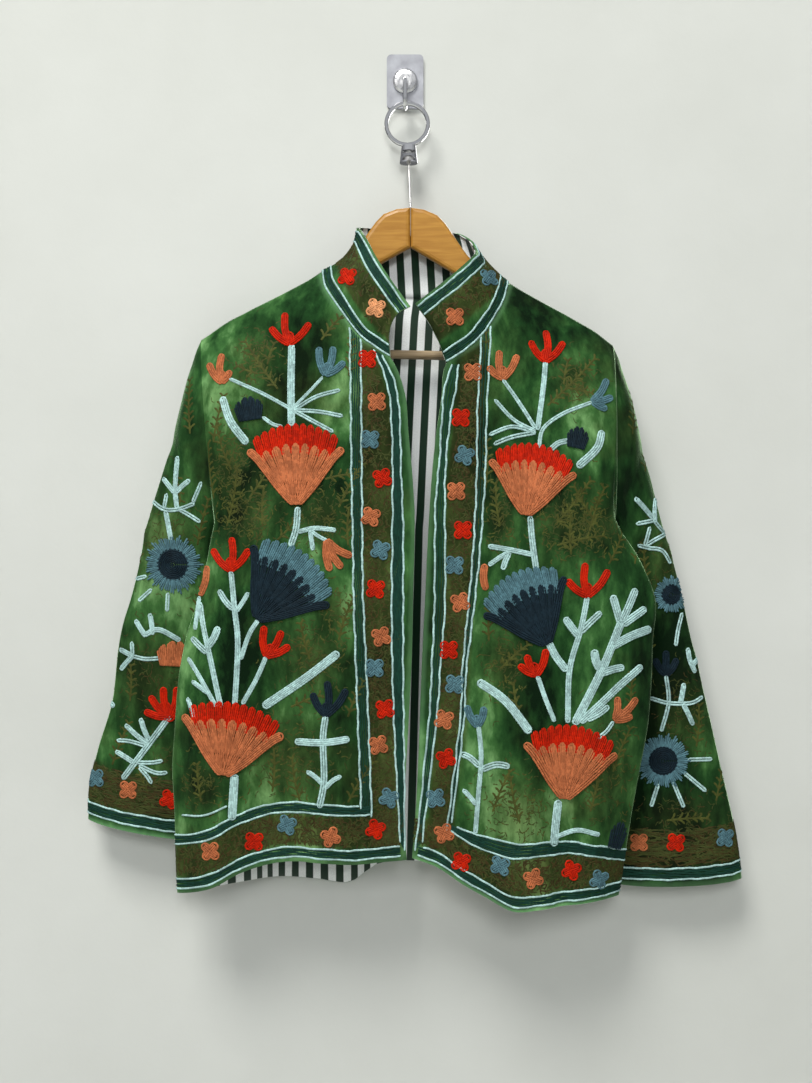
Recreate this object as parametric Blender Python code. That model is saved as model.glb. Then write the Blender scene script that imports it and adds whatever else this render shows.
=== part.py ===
"""Suzani jacket on a wooden hanger, hung from a ring on an adhesive wall hook.

Metres, +Z up. The wall is the plane y = 0, the jacket's front faces -Y, and the origin is the centre of the
wall plate's back. Each cloth piece is a wall between outer points, laid out in rows and columns that follow
the cut, and the same points moved inwards by the cloth's thickness.
"""

import math

import bmesh
import bpy
import numpy as np
from mathutils import Vector

# Cloth thicknesses and the gap left at each seam
CLOTH = 0.0030
SHELL = 0.0017
LINING_START = 0.0020
SEAM_PULL = 0.00025
# Rise of the shoulder seam above the hanger's top, straight up, on the shoulder's slope
SEAM_LIFT = 0.0040

# Hanger: half outline from its centre, and its pose
HANGER_X = 0.006
HANGER_Y = -0.032
HANGER_THICK = 0.012
HANGER_TILT = 0.0227
HANGER_EDGE_ROUND = 0.0048
HANGER_EDGE_STEPS = 3
HANGER_FOOT = 0.182
BAR_RADIUS = 0.005
BAR_Z = -0.3105
BAR_SIDES = 14

# Wall hook, ring and pin
PLATE_SIZE = (0.041, 0.0606)
PLATE_THICK = 0.003
PLATE_CORNER = 0.005
BOSS_RADIUS = 0.0138
BOSS_FRONT = -0.0085
PIECE_GAP = 0.0003
HOOK_WIRE = 0.0024
HOOK_Y = -0.022
HOOK_BEND = 0.009
HOOK_BEND_Z = -0.0265
HOOK_TURN = 0.0032
HOOK_TIP_Z = -0.011
RING_X = 0.0023
RING_Z = -0.0534
RING_INNER = 0.0210
RING_OUTER = 0.0252
RING_DEPTH = 0.0056
RING_SIDES = 36
CUP_X = 0.0040
CUP_RADIUS = 0.0100
CUP_NECK_RADIUS = 0.0078
CUP_TAPER = 0.0016
CUP_TOP = -0.0775
CUP_CEILING = 0.0060
CUP_BOTTOM = -0.0970
CUP_WALL = 0.0018
CUP_SIDES = 24
SLOT_HEIGHT = 0.0115
SLOT_REACH = 0.0200
KEY_SIZE = (0.0046, 0.0220, 0.0100)
PIN_RADIUS = 0.0013
PIN_HEAD_RADIUS = 0.0062
PIN_SIDES = 16

# Rows: 0 shoulder seam, 2 front of the hanger, 6 neck corner, 10 underarm, 19 hem
NECK_ROW = 6
UNDERARM_ROW = 10
HEM_ROW = 19
# Columns of a front, as shares of the way from its front edge to its seam
FRONT_SHARES = (0, 0.11, 0.22, 0.33, 0.44, 0.55, 0.66, 0.76, 0.84, 0.91, 0.96, 1)
NECK_SHARES = (0.06, 0.17, 0.33, 0.5, 0.67, 0.83, 0.94)
COLLAR_ROWS = 4
TEE = {"left": -1, "right": 1}


def table(columns, *rows):
    """A table's columns by name."""
    return dict(zip(columns.split(), np.array(rows, float).T))


def flow(stations, values, where):
    """Values read at some places along a smooth curve through a table's stations."""
    stations = np.asarray(stations, float)
    values = np.asarray(values, float)
    where = np.asarray(where, float)
    slopes = np.gradient(values, stations, axis=0)
    at = np.clip(np.searchsorted(stations, where, "right") - 1, 0, len(stations) - 2)
    span = stations[at + 1] - stations[at]
    t = (where - stations[at]) / span
    if values.ndim > 1:
        t = t[..., None]
        span = span[..., None]
    start = (1 + 2 * t) * (1 - t) ** 2 * values[at] + t * (1 - t) ** 2 * span * slopes[at]
    end = t * t * (3 - 2 * t) * values[at + 1] + t * t * (t - 1) * span * slopes[at + 1]
    return start + end


def read(rows, where, columns):
    """The named columns of a table, read smoothly at a row number."""
    names = columns.split()
    return flow(rows["row"], np.stack([rows[name] for name in names], -1), where)


HANGER_TOP = table(
    "reach height",
    (0.000, -0.1487), (0.015, -0.1505), (0.0297, -0.1564), (0.0385, -0.1657), (0.0478, -0.1790),
    (0.056, -0.1909), (0.0628, -0.2000), (0.075, -0.2130), (0.096, -0.2290), (0.109, -0.2365),
    (0.143, -0.2532), (0.173, -0.2680), (0.199, -0.2825), (0.206, -0.2872),
)
HANGER_UNDER = table("reach height", (0.000, -0.1928), (HANGER_FOOT, -0.2985))
HANGER_FOOT_OUTLINE = table(
    "reach height",
    (HANGER_FOOT, -0.3200), (0.204, -0.3240), (0.2105, -0.3120), (0.2105, -0.2960),
)

# Drop from the shoulder to the underarm: the angle round the armhole at each row
ARMHOLE_TURN = table(
    "row turn",
    (0, 0), (1, 10.4), (2, 18.4), (3, 37), (4, 54), (5, 70), (6, 86), (7, 103), (8, 122), (9, 150), (10, 180),
)
# Drop of the cloth where it bends over the hanger's top
CREST = table("row drop", (0, 0), (1, 0.0016), (2, 0.0054), (19, 0.0054))
# Drop of the back below its neckline, at the middle of the neck
BELOW_NECK = table("row drop", (0, 0), (1, 0.0080), (2, 0.0160), (3, 0.0054), (19, 0.0054))
# Share of the way from the hanger's top down to the underarm
FALL = table(
    "row share",
    (0, 0), (2, 0), (3, 0.077), (4, 0.185), (5, 0.311), (6, 0.45), (7, 0.602), (8, 0.759), (9, 0.931), (10, 1),
)
# Share of the shoulder's slope that each row of the cloth keeps
SHOULDER_SHAPE = table(
    "row keep",
    (0, 1), (2, 1), (3, 0.8), (4, 0.6), (5, 0.4), (6, 0.22), (8, 0.04), (10, 0), (19, 0),
)

NECKLINE = {
    "left": table(
        "row x y z",
        (0, -0.0914, -0.0320, -0.2190), (1, -0.0916, -0.0374, -0.2208), (2, -0.0914, -0.0415, -0.2245),
        (3, -0.0870, -0.0560, -0.2400), (4, -0.0735, -0.0700, -0.2620), (5, -0.0480, -0.0820, -0.2975),
        (6, -0.0160, -0.0900, -0.3202),
    ),
    "right": table(
        "row x y z",
        (0, 0.1137, -0.0320, -0.2312), (1, 0.1136, -0.0375, -0.2328), (2, 0.1130, -0.0418, -0.2366),
        (3, 0.1060, -0.0585, -0.2570), (4, 0.0935, -0.0715, -0.2800), (5, 0.0740, -0.0820, -0.3050),
        (6, 0.0440, -0.0900, -0.3267),
    ),
}
FRONT_EDGE = {
    "left": table(
        "row x y z",
        (6, -0.0160, -0.0900, -0.3202), (7, -0.0003, -0.0930, -0.3590), (8, 0.0035, -0.0950, -0.4000),
        (10, 0.0100, -0.0990, -0.4830), (12, 0.0088, -0.1020, -0.5650), (14, 0.0068, -0.1030, -0.6470),
        (16, 0.0025, -0.1030, -0.7290), (18, -0.0008, -0.1000, -0.8110), (19, 0.0018, -0.0980, -0.8520),
    ),
    "right": table(
        "row x y z",
        (6, 0.0440, -0.0900, -0.3267), (7, 0.0385, -0.0930, -0.3660), (8, 0.0325, -0.0950, -0.4060),
        (10, 0.0255, -0.0990, -0.4870), (12, 0.0215, -0.1020, -0.5680), (14, 0.0175, -0.1030, -0.6480),
        (16, 0.0145, -0.1030, -0.7290), (18, 0.0105, -0.1000, -0.8090), (19, 0.0073, -0.0980, -0.8500),
    ),
}
SIDE_SEAM = {
    "left": table(
        "row x y z",
        (10, -0.2050, -0.0500, -0.5050), (11, -0.2035, -0.0540, -0.5400), (12, -0.2050, -0.0565, -0.5800),
        (14, -0.2120, -0.0585, -0.6670), (16, -0.2150, -0.0590, -0.7560), (19, -0.2120, -0.0590, -0.8900),
    ),
    "right": table(
        "row x y z",
        (10, 0.2275, -0.0500, -0.5000), (11, 0.2280, -0.0540, -0.5360), (12, 0.2300, -0.0565, -0.5780),
        (14, 0.2280, -0.0585, -0.6660), (16, 0.2200, -0.0590, -0.7550), (19, 0.2050, -0.0590, -0.8900),
    ),
}
# The side fold of each front: where it stands out furthest, how far in it turns, and the depths there
FRONT_FORM = {
    "left": table(
        "row fold_x fold_y turn turn_y mid_y",
        (0, -0.2120, -0.0320, 0.0146, -0.0320, -0.0320), (1, -0.2120, -0.0374, 0.0146, -0.0374, -0.0374),
        (2, -0.2120, -0.0417, 0.0146, -0.0415, -0.0415), (3, -0.2110, -0.0530, 0.020, -0.0535, -0.0530),
        (4, -0.2090, -0.0620, 0.024, -0.0640, -0.0640), (6, -0.2045, -0.0750, 0.028, -0.0800, -0.0810),
        (8, -0.2000, -0.0790, 0.028, -0.0880, -0.0925), (10, -0.2050, -0.0710, 0.028, -0.0905, -0.0980),
        (11, -0.2130, -0.0725, 0.029, -0.0920, -0.1000), (12, -0.2235, -0.0735, 0.030, -0.0930, -0.1015),
        (13, -0.2365, -0.0750, 0.030, -0.0940, -0.1025), (15, -0.2462, -0.0760, 0.030, -0.0945, -0.1035),
        (16, -0.2490, -0.0760, 0.030, -0.0945, -0.1040), (17, -0.2470, -0.0760, 0.030, -0.0945, -0.1040),
        (19, -0.2438, -0.0760, 0.030, -0.0945, -0.1040),
    ),
    "right": table(
        "row fold_x fold_y turn turn_y mid_y",
        (0, 0.2177, -0.0320, 0.0126, -0.0320, -0.0320), (1, 0.2177, -0.0375, 0.0126, -0.0375, -0.0375),
        (2, 0.2180, -0.0418, 0.0126, -0.0417, -0.0417), (3, 0.2215, -0.0530, 0.018, -0.0535, -0.0530),
        (4, 0.2240, -0.0620, 0.024, -0.0640, -0.0640), (6, 0.2250, -0.0750, 0.028, -0.0800, -0.0810),
        (8, 0.2235, -0.0790, 0.028, -0.0880, -0.0925), (10, 0.2300, -0.0735, 0.028, -0.0905, -0.0980),
        (11, 0.2515, -0.0725, 0.030, -0.0920, -0.1000), (12, 0.2680, -0.0740, 0.032, -0.0930, -0.1015),
        (13, 0.2655, -0.0750, 0.032, -0.0940, -0.1030), (15, 0.2600, -0.0760, 0.031, -0.0945, -0.1050),
        (16, 0.2520, -0.0760, 0.031, -0.0945, -0.1060), (17, 0.2435, -0.0760, 0.031, -0.0950, -0.1070),
        (19, 0.2290, -0.0760, 0.031, -0.0960, -0.1080),
    ),
}
# The back: where its side sections turn back towards the wall (tuck) and where they reach it (knee)
BACK_FORM = {
    "left": table(
        "row tuck_x tuck_y knee_x knee_y neck_x neck_y",
        (0, -0.1975, -0.0320, -0.1643, -0.0320, -0.0914, -0.0320),
        (1, -0.1975, -0.0266, -0.1643, -0.0266, -0.0914, -0.0266),
        (2, -0.1975, -0.0225, -0.1643, -0.0225, -0.0914, -0.0215),
        (3, -0.1960, -0.0165, -0.1620, -0.0170, -0.0920, -0.0165),
        (4, -0.1940, -0.0130, -0.1600, -0.0140, -0.0930, -0.0130),
        (6, -0.1890, -0.0105, -0.1550, -0.0105, -0.0940, -0.0100),
        (8, -0.1850, -0.0150, -0.1520, -0.0100, -0.0950, -0.0085),
        (10, -0.1860, -0.0350, -0.1530, -0.0120, -0.0950, -0.0080),
        (11, -0.1800, -0.0430, -0.1520, -0.0150, -0.0950, -0.0080),
        (12, -0.1780, -0.0480, -0.1500, -0.0170, -0.0950, -0.0080),
        (14, -0.1770, -0.0505, -0.1490, -0.0180, -0.0950, -0.0080),
        (19, -0.1770, -0.0510, -0.1480, -0.0180, -0.0950, -0.0080),
    ),
    "right": table(
        "row tuck_x tuck_y knee_x knee_y neck_x neck_y",
        (0, 0.2051, -0.0320, 0.1766, -0.0320, 0.1137, -0.0320),
        (1, 0.2051, -0.0266, 0.1766, -0.0266, 0.1137, -0.0266),
        (2, 0.2051, -0.0225, 0.1766, -0.0225, 0.1135, -0.0215),
        (3, 0.2050, -0.0165, 0.1750, -0.0170, 0.1120, -0.0165),
        (4, 0.2045, -0.0130, 0.1735, -0.0140, 0.1100, -0.0130),
        (6, 0.2040, -0.0105, 0.1710, -0.0105, 0.1050, -0.0100),
        (8, 0.2055, -0.0150, 0.1700, -0.0100, 0.1000, -0.0085),
        (10, 0.2085, -0.0350, 0.1710, -0.0120, 0.0970, -0.0080),
        (11, 0.2020, -0.0430, 0.1700, -0.0150, 0.0960, -0.0080),
        (12, 0.1980, -0.0480, 0.1680, -0.0170, 0.0950, -0.0080),
        (14, 0.1930, -0.0505, 0.1640, -0.0180, 0.0950, -0.0080),
        (19, 0.1800, -0.0510, 0.1520, -0.0180, 0.0950, -0.0080),
    ),
}
BACK_NECK = table(
    "share x y z",
    (0, -0.0914, -0.0320, -0.2190), (0.06, -0.0895, -0.0232, -0.2212), (0.17, -0.0800, -0.0170, -0.2290),
    (0.33, -0.0500, -0.0115, -0.2390), (0.5, 0.0080, -0.0085, -0.2450), (0.67, 0.0680, -0.0115, -0.2425),
    (0.83, 0.1010, -0.0165, -0.2375), (0.94, 0.1118, -0.0232, -0.2328), (1, 0.1137, -0.0320, -0.2312),
)
# Hem heights, by share across a front and by place across the back
FRONT_HEM = {
    "left": table(
        "row height",
        (0, -0.8520), (0.2, -0.8560), (0.5, -0.8535), (0.68, -0.8690), (0.78, -0.8835), (0.91, -0.8915),
        (1, -0.8900),
    ),
    "right": table(
        "row height",
        (0, -0.8500), (0.09, -0.8563), (0.18, -0.8701), (0.32, -0.8901), (0.46, -0.9032), (0.60, -0.9000),
        (0.78, -0.8975), (0.91, -0.8930), (1, -0.8900),
    ),
}
BACK_HEM = table(
    "row height",
    (-1, -0.8900), (-0.9, -0.8850), (-0.78, -0.8875), (-0.5, -0.8930), (-0.3, -0.8950), (-0.17, -0.8770),
    (0, -0.8715), (0.2, -0.8760), (0.5, -0.8860), (0.8, -0.8900), (1, -0.8900),
)
# Share of the hem's waves that each row of the cloth keeps
HEM_SHAPE = table("row keep", (0, 0), (11, 0), (13, 0.12), (15, 0.35), (17, 0.70), (18, 0.86), (19, 1))

# Largest folds: a soft ridge (or a trough, where out is negative) that runs from its top down to its foot
FRONT_FOLDS = table(
    "top_x top_z foot_x foot_z width out",
    (-0.112, -0.285, -0.125, -0.440, 0.016, -0.0040), (-0.180, -0.345, -0.178, -0.480, 0.015, -0.0045),
    (-0.150, -0.640, -0.166, -0.900, 0.022, -0.0060), (-0.196, -0.660, -0.200, -0.900, 0.020, 0.0060),
    (0.131, -0.290, 0.126, -0.430, 0.017, -0.0045), (0.204, -0.390, 0.196, -0.500, 0.014, -0.0045),
    (0.088, -0.690, 0.082, -0.900, 0.017, -0.0055), (0.124, -0.640, 0.122, -0.905, 0.022, 0.0075),
    (0.172, -0.690, 0.176, -0.900, 0.020, -0.0045), (-0.070, -0.600, -0.078, -0.870, 0.026, 0.0040),
)
BACK_FOLDS = table(
    "top_x top_z foot_x foot_z width out",
    (-0.118, -0.330, -0.104, -0.880, 0.022, -0.0060), (0.126, -0.350, 0.112, -0.880, 0.022, -0.0065),
    (-0.034, -0.600, -0.046, -0.890, 0.020, -0.0060), (0.048, -0.640, 0.044, -0.890, 0.018, -0.0045),
)

# Sleeves: rings from the armhole to the cuff, each by its outer edge, its inner edge and half its depth
SLEEVE = {
    "left": table(
        "row out_x out_y out_z in_x in_y in_z half",
        (0, -0.2240, -0.0320, -0.2940, -0.2050, -0.0500, -0.5050, 0.0300),
        (1, -0.2312, -0.0320, -0.3120, -0.2075, -0.0485, -0.5090, 0.0300),
        (2, -0.2435, -0.0320, -0.3570, -0.2095, -0.0460, -0.5150, 0.0290),
        (3, -0.2613, -0.0310, -0.4230, -0.2100, -0.0420, -0.5240, 0.0265),
        (4, -0.2813, -0.0300, -0.4890, -0.2060, -0.0370, -0.5410, 0.0240),
        (5, -0.2967, -0.0300, -0.5590, -0.1970, -0.0330, -0.5760, 0.0215),
        (6, -0.3143, -0.0300, -0.6257, -0.1920, -0.0310, -0.6330, 0.0205),
        (7, -0.3223, -0.0300, -0.6908, -0.1920, -0.0300, -0.6960, 0.0200),
        (8, -0.3375, -0.0300, -0.7415, -0.1930, -0.0300, -0.7560, 0.0195),
        (9, -0.3475, -0.0300, -0.7850, -0.1960, -0.0300, -0.8060, 0.0185),
        (10, -0.3491, -0.0300, -0.8198, -0.1980, -0.0300, -0.8430, 0.0175),
    ),
    "right": table(
        "row out_x out_y out_z in_x in_y in_z half",
        (0, 0.2280, -0.0320, -0.2998, 0.2275, -0.0500, -0.5000, 0.0300),
        (1, 0.2355, -0.0320, -0.3180, 0.2300, -0.0485, -0.5040, 0.0300),
        (2, 0.2470, -0.0320, -0.3600, 0.2312, -0.0460, -0.5100, 0.0290),
        (3, 0.2620, -0.0310, -0.4160, 0.2300, -0.0420, -0.5190, 0.0265),
        (4, 0.2820, -0.0300, -0.4950, 0.2240, -0.0370, -0.5370, 0.0240),
        (5, 0.3009, -0.0300, -0.5607, 0.2160, -0.0330, -0.5760, 0.0215),
        (6, 0.3164, -0.0300, -0.6301, 0.2110, -0.0310, -0.6370, 0.0205),
        (7, 0.3330, -0.0300, -0.6990, 0.2100, -0.0300, -0.7050, 0.0200),
        (8, 0.3461, -0.0300, -0.7569, 0.2110, -0.0300, -0.7700, 0.0195),
        (9, 0.3630, -0.0300, -0.8308, 0.2140, -0.0300, -0.8370, 0.0185),
        (10, 0.3709, -0.0300, -0.8848, 0.2180, -0.0300, -0.8880, 0.0175),
    ),
}
# Drop of each cuff's middle below its ends, and the row where it starts
CUFF_SAG = 0.0062
CUFF_SAG_ROW = 8
# Bends across each sleeve, as soft troughs in its front and back walls
SLEEVE_BENDS = table(
    "row width deep",
    (2.6, 0.42, 0.0030), (4.6, 0.40, 0.0034), (6.5, 0.36, 0.0026), (8.2, 0.34, 0.0018),
)

# Collar: its top edge and the offset of its middle from the straight line, by column from the left end
COLLAR = table(
    "row x y z mid_x mid_y mid_z",
    (0, 0.0056, -0.0870, -0.2660, -0.009, -0.002, 0.009), (1, -0.0130, -0.0850, -0.2400, -0.004, -0.003, 0.004),
    (2, -0.0290, -0.0745, -0.2140, 0, -0.004, 0.001), (3, -0.0405, -0.0620, -0.1915, 0.003, -0.003, -0.002),
    (4, -0.0490, -0.0470, -0.1765, 0.007, 0, -0.004), (5, -0.0515, -0.0420, -0.1735, 0.008, 0, -0.004),
    (6, -0.0528, -0.0360, -0.1715, 0.009, 0, -0.004), (7, -0.0440, -0.0190, -0.1680, 0.006, 0, -0.002),
    (8, -0.0200, -0.0105, -0.1710, 0.002, 0, 0), (9, 0.0060, -0.0085, -0.1750, 0, 0, 0),
    (10, 0.0340, -0.0095, -0.1745, -0.001, 0, 0), (11, 0.0580, -0.0150, -0.1730, -0.002, 0, 0),
    (12, 0.0731, -0.0300, -0.1839, -0.003, 0, -0.001), (13, 0.0765, -0.0365, -0.1905, -0.003, 0, -0.001),
    (14, 0.0785, -0.0430, -0.1985, -0.003, 0, -0.001), (15, 0.0730, -0.0590, -0.2075, -0.002, -0.003, 0),
    (16, 0.0540, -0.0740, -0.2270, 0, -0.004, 0), (17, 0.0330, -0.0820, -0.2450, 0.002, -0.003, 0.001),
    (18, 0.0108, -0.0870, -0.2630, 0.003, -0.002, 0.002),
)


def hanger_top(x):
    """Height of the hanger's upper edge above a place along it."""
    reach = np.abs(np.asarray(x, float) - HANGER_X)
    last = HANGER_TOP["reach"][-1]
    height = np.interp(reach, HANGER_TOP["reach"], HANGER_TOP["height"]) - 0.85 * np.maximum(reach - last, 0)
    return height - HANGER_TILT * (np.asarray(x, float) - HANGER_X)


def shoulder_seam(side, share):
    """The shoulder seam, which lies along the hanger, from the neck to the shoulder point."""
    neck = read(NECKLINE[side], 0, "x y z")
    tip = read(SLEEVE[side], 0, "out_x out_y out_z")
    point = neck + (tip - neck) * share
    rise = [end[2] - hanger_top(end[0]) - SEAM_LIFT for end in (neck, tip)]
    point[2] = hanger_top(point[0]) + SEAM_LIFT + rise[0] * (1 - share) ** 3 + rise[1] * share ** 6
    return point


def armhole_angle(row):
    return math.radians(float(flow(ARMHOLE_TURN["row"], ARMHOLE_TURN["turn"], row)))


def sleeve_point(side, row, angle):
    """A point of a sleeve's ring. The angle runs from its outer edge round the front."""
    ring = read(SLEEVE[side], row, "out_x out_y out_z in_x in_y in_z half")
    middle = (ring[:3] + ring[3:6]) / 2
    across = (ring[:3] - ring[3:6]) / 2
    flat = min(row / 5, 1) * 0.35
    depth = math.copysign(abs(math.sin(angle)) ** (1 - flat), math.sin(angle))
    point = middle + across * math.cos(angle)
    trough = sum(
        deep * math.exp(-(((row - at) / width) ** 2))
        for at, width, deep in zip(SLEEVE_BENDS["row"], SLEEVE_BENDS["width"], SLEEVE_BENDS["deep"])
    )
    point[1] -= (ring[6] - trough * abs(depth)) * depth
    point[2] -= CUFF_SAG * max(row - CUFF_SAG_ROW, 0) / 2 * depth * depth
    return point


def seam_point(side, row, facing):
    """The outer seam of a panel: the armhole (facing 1 in front, -1 behind), then the side seam."""
    if row <= UNDERARM_ROW:
        return sleeve_point(side, 0, facing * armhole_angle(row))
    return read(SIDE_SEAM[side], row, "x y z")


def inner_edge(side, row):
    """The neckline, then the front edge."""
    if row <= NECK_ROW:
        return read(NECKLINE[side], row, "x y z")
    return read(FRONT_EDGE[side], row, "x y z")


def fold_shift(folds, x, z):
    """How far the folds stand out of the cloth at a place."""
    shift = 0.0
    for top_x, top_z, foot_x, foot_z, width, out in zip(*folds.values()):
        along = (top_z - z) / (top_z - foot_z)
        fade = 1 / (1 + math.exp(-12 * (along - 0.25)))
        centre = top_x + (foot_x - top_x) * min(max(along, 0), 1)
        past_foot = max(along - 1, 0)
        shift += out * fade * math.exp(-(((x - centre) / width) ** 2) - 30 * past_foot)
    return shift


def front_point(side, row, share):
    """A point of a front, by its row and its share of the way from the front edge to the seam."""
    if row == 0:
        return shoulder_seam(side, share)
    out = TEE[side]
    edge = inner_edge(side, row)
    seam = seam_point(side, row, 1)
    fold_x, fold_y, turn, turn_y, mid_y = read(FRONT_FORM[side], row, "fold_x fold_y turn turn_y mid_y")
    turn_x = fold_x - out * turn
    stations = (0, 0.27, 0.55, 0.80, 0.91, 1)
    across = np.array([
        (edge[0], edge[1]),
        (edge[0] + (turn_x - edge[0]) * 0.3375, 0.35 * edge[1] + 0.65 * mid_y),
        (edge[0] + (turn_x - edge[0]) * 0.6875, mid_y),
        (turn_x, turn_y),
        (fold_x, fold_y),
        (seam[0], seam[1]),
    ])
    x, y = flow(stations, across, share)
    z = edge[2] + (seam[2] - edge[2]) * share
    top = shoulder_seam(side, share)
    ends = [shoulder_seam(side, end)[2] for end in (0, 1)]
    z += (top[2] - ends[0] - (ends[1] - ends[0]) * share) * np.interp(
        row, SHOULDER_SHAPE["row"], SHOULDER_SHAPE["keep"]
    )
    hem = FRONT_HEM[side]
    level = hem["height"][0] + (hem["height"][-1] - hem["height"][0]) * share
    z += (flow(hem["row"], hem["height"], share) - level) * np.interp(row, HEM_SHAPE["row"], HEM_SHAPE["keep"])
    inside = math.sin(math.pi * min(share / 0.8, 1)) if share < 0.8 else 0
    y -= fold_shift(FRONT_FOLDS, x, z) * min(1, 3 * inside)
    return np.array([x, y, z])


def back_neck(share):
    return flow(BACK_NECK["share"], np.stack([BACK_NECK[name] for name in "xyz"], -1), share)


def back_across(row, place):
    """Across and depth of the back at a row and a place."""
    left, right = [read(BACK_FORM[side], row, "tuck_x tuck_y knee_x knee_y neck_x neck_y") for side in TEE]
    ends = [seam_point(side, row, -1)[:2] for side in TEE]
    middle = (0.0, -0.0085)
    stations = (-2, -1.8, -1.55, -1, 0, 1, 1.55, 1.8, 2)
    across = [ends[0], left[0:2], left[2:4], left[4:6], middle, right[4:6], right[2:4], right[0:2], ends[1]]
    x, y = flow(stations, np.array(across), place)
    if abs(place) < 1:
        near = back_neck((place + 1) / 2)
        keep_x = max(1 - row / UNDERARM_ROW, 0)
        keep_y = max(1 - row / 4, 0)
        x += (near[0] - x) * keep_x
        y += (near[1] - y) * keep_y
    return x, y


def back_height(row, place):
    """Height of the back at a row and a place, before its hem is shaped."""
    side = "left" if place < 0 else "right"
    lows = [seam_point(each, max(row, UNDERARM_ROW), -1)[2] for each in TEE]
    low = lows[0] + (lows[1] - lows[0]) * (place + 2) / 4
    if row >= UNDERARM_ROW:
        return low
    crest = np.interp(row, CREST["row"], CREST["drop"])
    fall = np.interp(row, FALL["row"], FALL["share"])
    if abs(place) >= 1:
        top = shoulder_seam(side, abs(place) - 1)[2]
    else:
        top = back_neck((place + 1) / 2)[2]
        crest += (np.interp(row, BELOW_NECK["row"], BELOW_NECK["drop"]) - crest) * (1 - place ** 4)
    z = top - crest - fall * (top - crest - low)
    tip = shoulder_seam(side, 1)[2] - CREST["drop"][min(row, 2)]
    end = tip - fall * (tip - lows[0 if side == "left" else 1])
    return z + (seam_point(side, row, -1)[2] - end) * max(abs(place) - 1, 0)


def back_point(row, place):
    """A point of the back. Place runs from -2 at the left seam, -1 and 1 at the sides of the neck, to 2."""
    side = "left" if place < 0 else "right"
    if row == 0:
        return shoulder_seam(side, abs(place) - 1) if abs(place) >= 1 else back_neck((place + 1) / 2)
    if abs(place) == 2:
        return seam_point(side, row, -1)
    x, y = back_across(row, place)
    z = back_height(row, place)
    rise = flow(BACK_HEM["row"], BACK_HEM["height"], place / 2) - BACK_HEM["height"][0]
    z += rise * np.interp(row, HEM_SHAPE["row"], HEM_SHAPE["keep"])
    y -= fold_shift(BACK_FOLDS, x, z) * max(0, 1 - (abs(place) / 1.6) ** 4)
    return np.array([x, y, z])


def collar_columns():
    """Collar places: 0 left end, 6 and 12 the sides of the neck, 18 right end."""
    return list(range(7)) + [6 + 6 * share for share in NECK_SHARES] + list(range(12, 19))


def collar_base(column):
    """The neck seam, by place along the collar."""
    if column <= 6:
        return inner_edge("left", 6 - column)
    if column >= 12:
        return inner_edge("right", column - 12)
    return back_neck((column - 6) / 6)


def collar_point(column, share):
    """A point of the collar, by its column and its share of the way from the neck seam to the top."""
    base = collar_base(column)
    form = read(COLLAR, column, "x y z mid_x mid_y mid_z")
    return base + (form[:3] - base) * share + form[3:] * 4 * share * (1 - share)


def front_grid(side):
    return np.array([[front_point(side, row, share) for share in FRONT_SHARES] for row in range(HEM_ROW + 1)])


def back_places():
    shoulder = [-1 - share for share in reversed(FRONT_SHARES)]
    neck = [2 * share - 1 for share in NECK_SHARES]
    return shoulder + neck + [1 + share for share in FRONT_SHARES]


def back_grid():
    return np.array([[back_point(row, place) for place in back_places()] for row in range(HEM_ROW + 1)])


def sleeve_grid(side):
    front = [armhole_angle(row) for row in range(UNDERARM_ROW + 1)]
    angles = front + [-angle for angle in reversed(front[1:-1])]
    rows = range(len(SLEEVE[side]["row"]))
    return np.array([[sleeve_point(side, row, angle) for angle in angles] for row in rows])


def collar_grid():
    shares = [row / COLLAR_ROWS for row in range(COLLAR_ROWS + 1)]
    return np.array([[collar_point(column, share) for column in collar_columns()] for share in shares])


def grid_normals(grid, tube, facing):
    """Unit normals of a grid's faces, summed at its points."""
    points = np.concatenate([grid, grid[:, :1]], axis=1) if tube else grid
    one = points[1:, 1:] - points[:-1, :-1]
    two = points[1:, :-1] - points[:-1, 1:]
    faces = np.cross(one, two) * facing
    faces /= np.linalg.norm(faces, axis=-1, keepdims=True)
    total = np.zeros_like(points)
    total[:-1, :-1] += faces
    total[1:, :-1] += faces
    total[:-1, 1:] += faces
    total[1:, 1:] += faces
    if tube:
        total[:, 0] += total[:, -1]
        total = total[:, :-1]
    return total


def shared_normals(cloth):
    """Normals of every cloth piece, the same on both sides of each seam."""
    sums = {}
    parts = {}
    for name, piece in cloth.items():
        parts[name] = grid_normals(piece["grid"], piece["tube"], piece["facing"])
        for point, normal in zip(piece["grid"].reshape(-1, 3), parts[name].reshape(-1, 3)):
            key = tuple(np.round(point, 5))
            sums[key] = sums.get(key, 0) + normal
    for side in TEE:
        sums[tuple(np.round(seam_point(side, UNDERARM_ROW, 1), 5))] = np.array([0.0, 0.0, -1.0])
    found = {}
    for name, piece in cloth.items():
        normals = np.array([sums[tuple(np.round(point, 5))] for point in piece["grid"].reshape(-1, 3)])
        normals /= np.linalg.norm(normals, axis=-1, keepdims=True)
        found[name] = normals.reshape(piece["grid"].shape)
    return found


def away_from_seam(edge, next_in, closed):
    """Unit steps from a seam's points into the cloth, square to the seam."""
    along = np.roll(edge, -1, axis=0) - np.roll(edge, 1, axis=0) if closed else np.gradient(edge, axis=0)
    along /= np.linalg.norm(along, axis=-1, keepdims=True)
    step = next_in - edge
    step -= along * np.sum(step * along, axis=-1, keepdims=True)
    return step / np.linalg.norm(step, axis=-1, keepdims=True)


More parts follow.
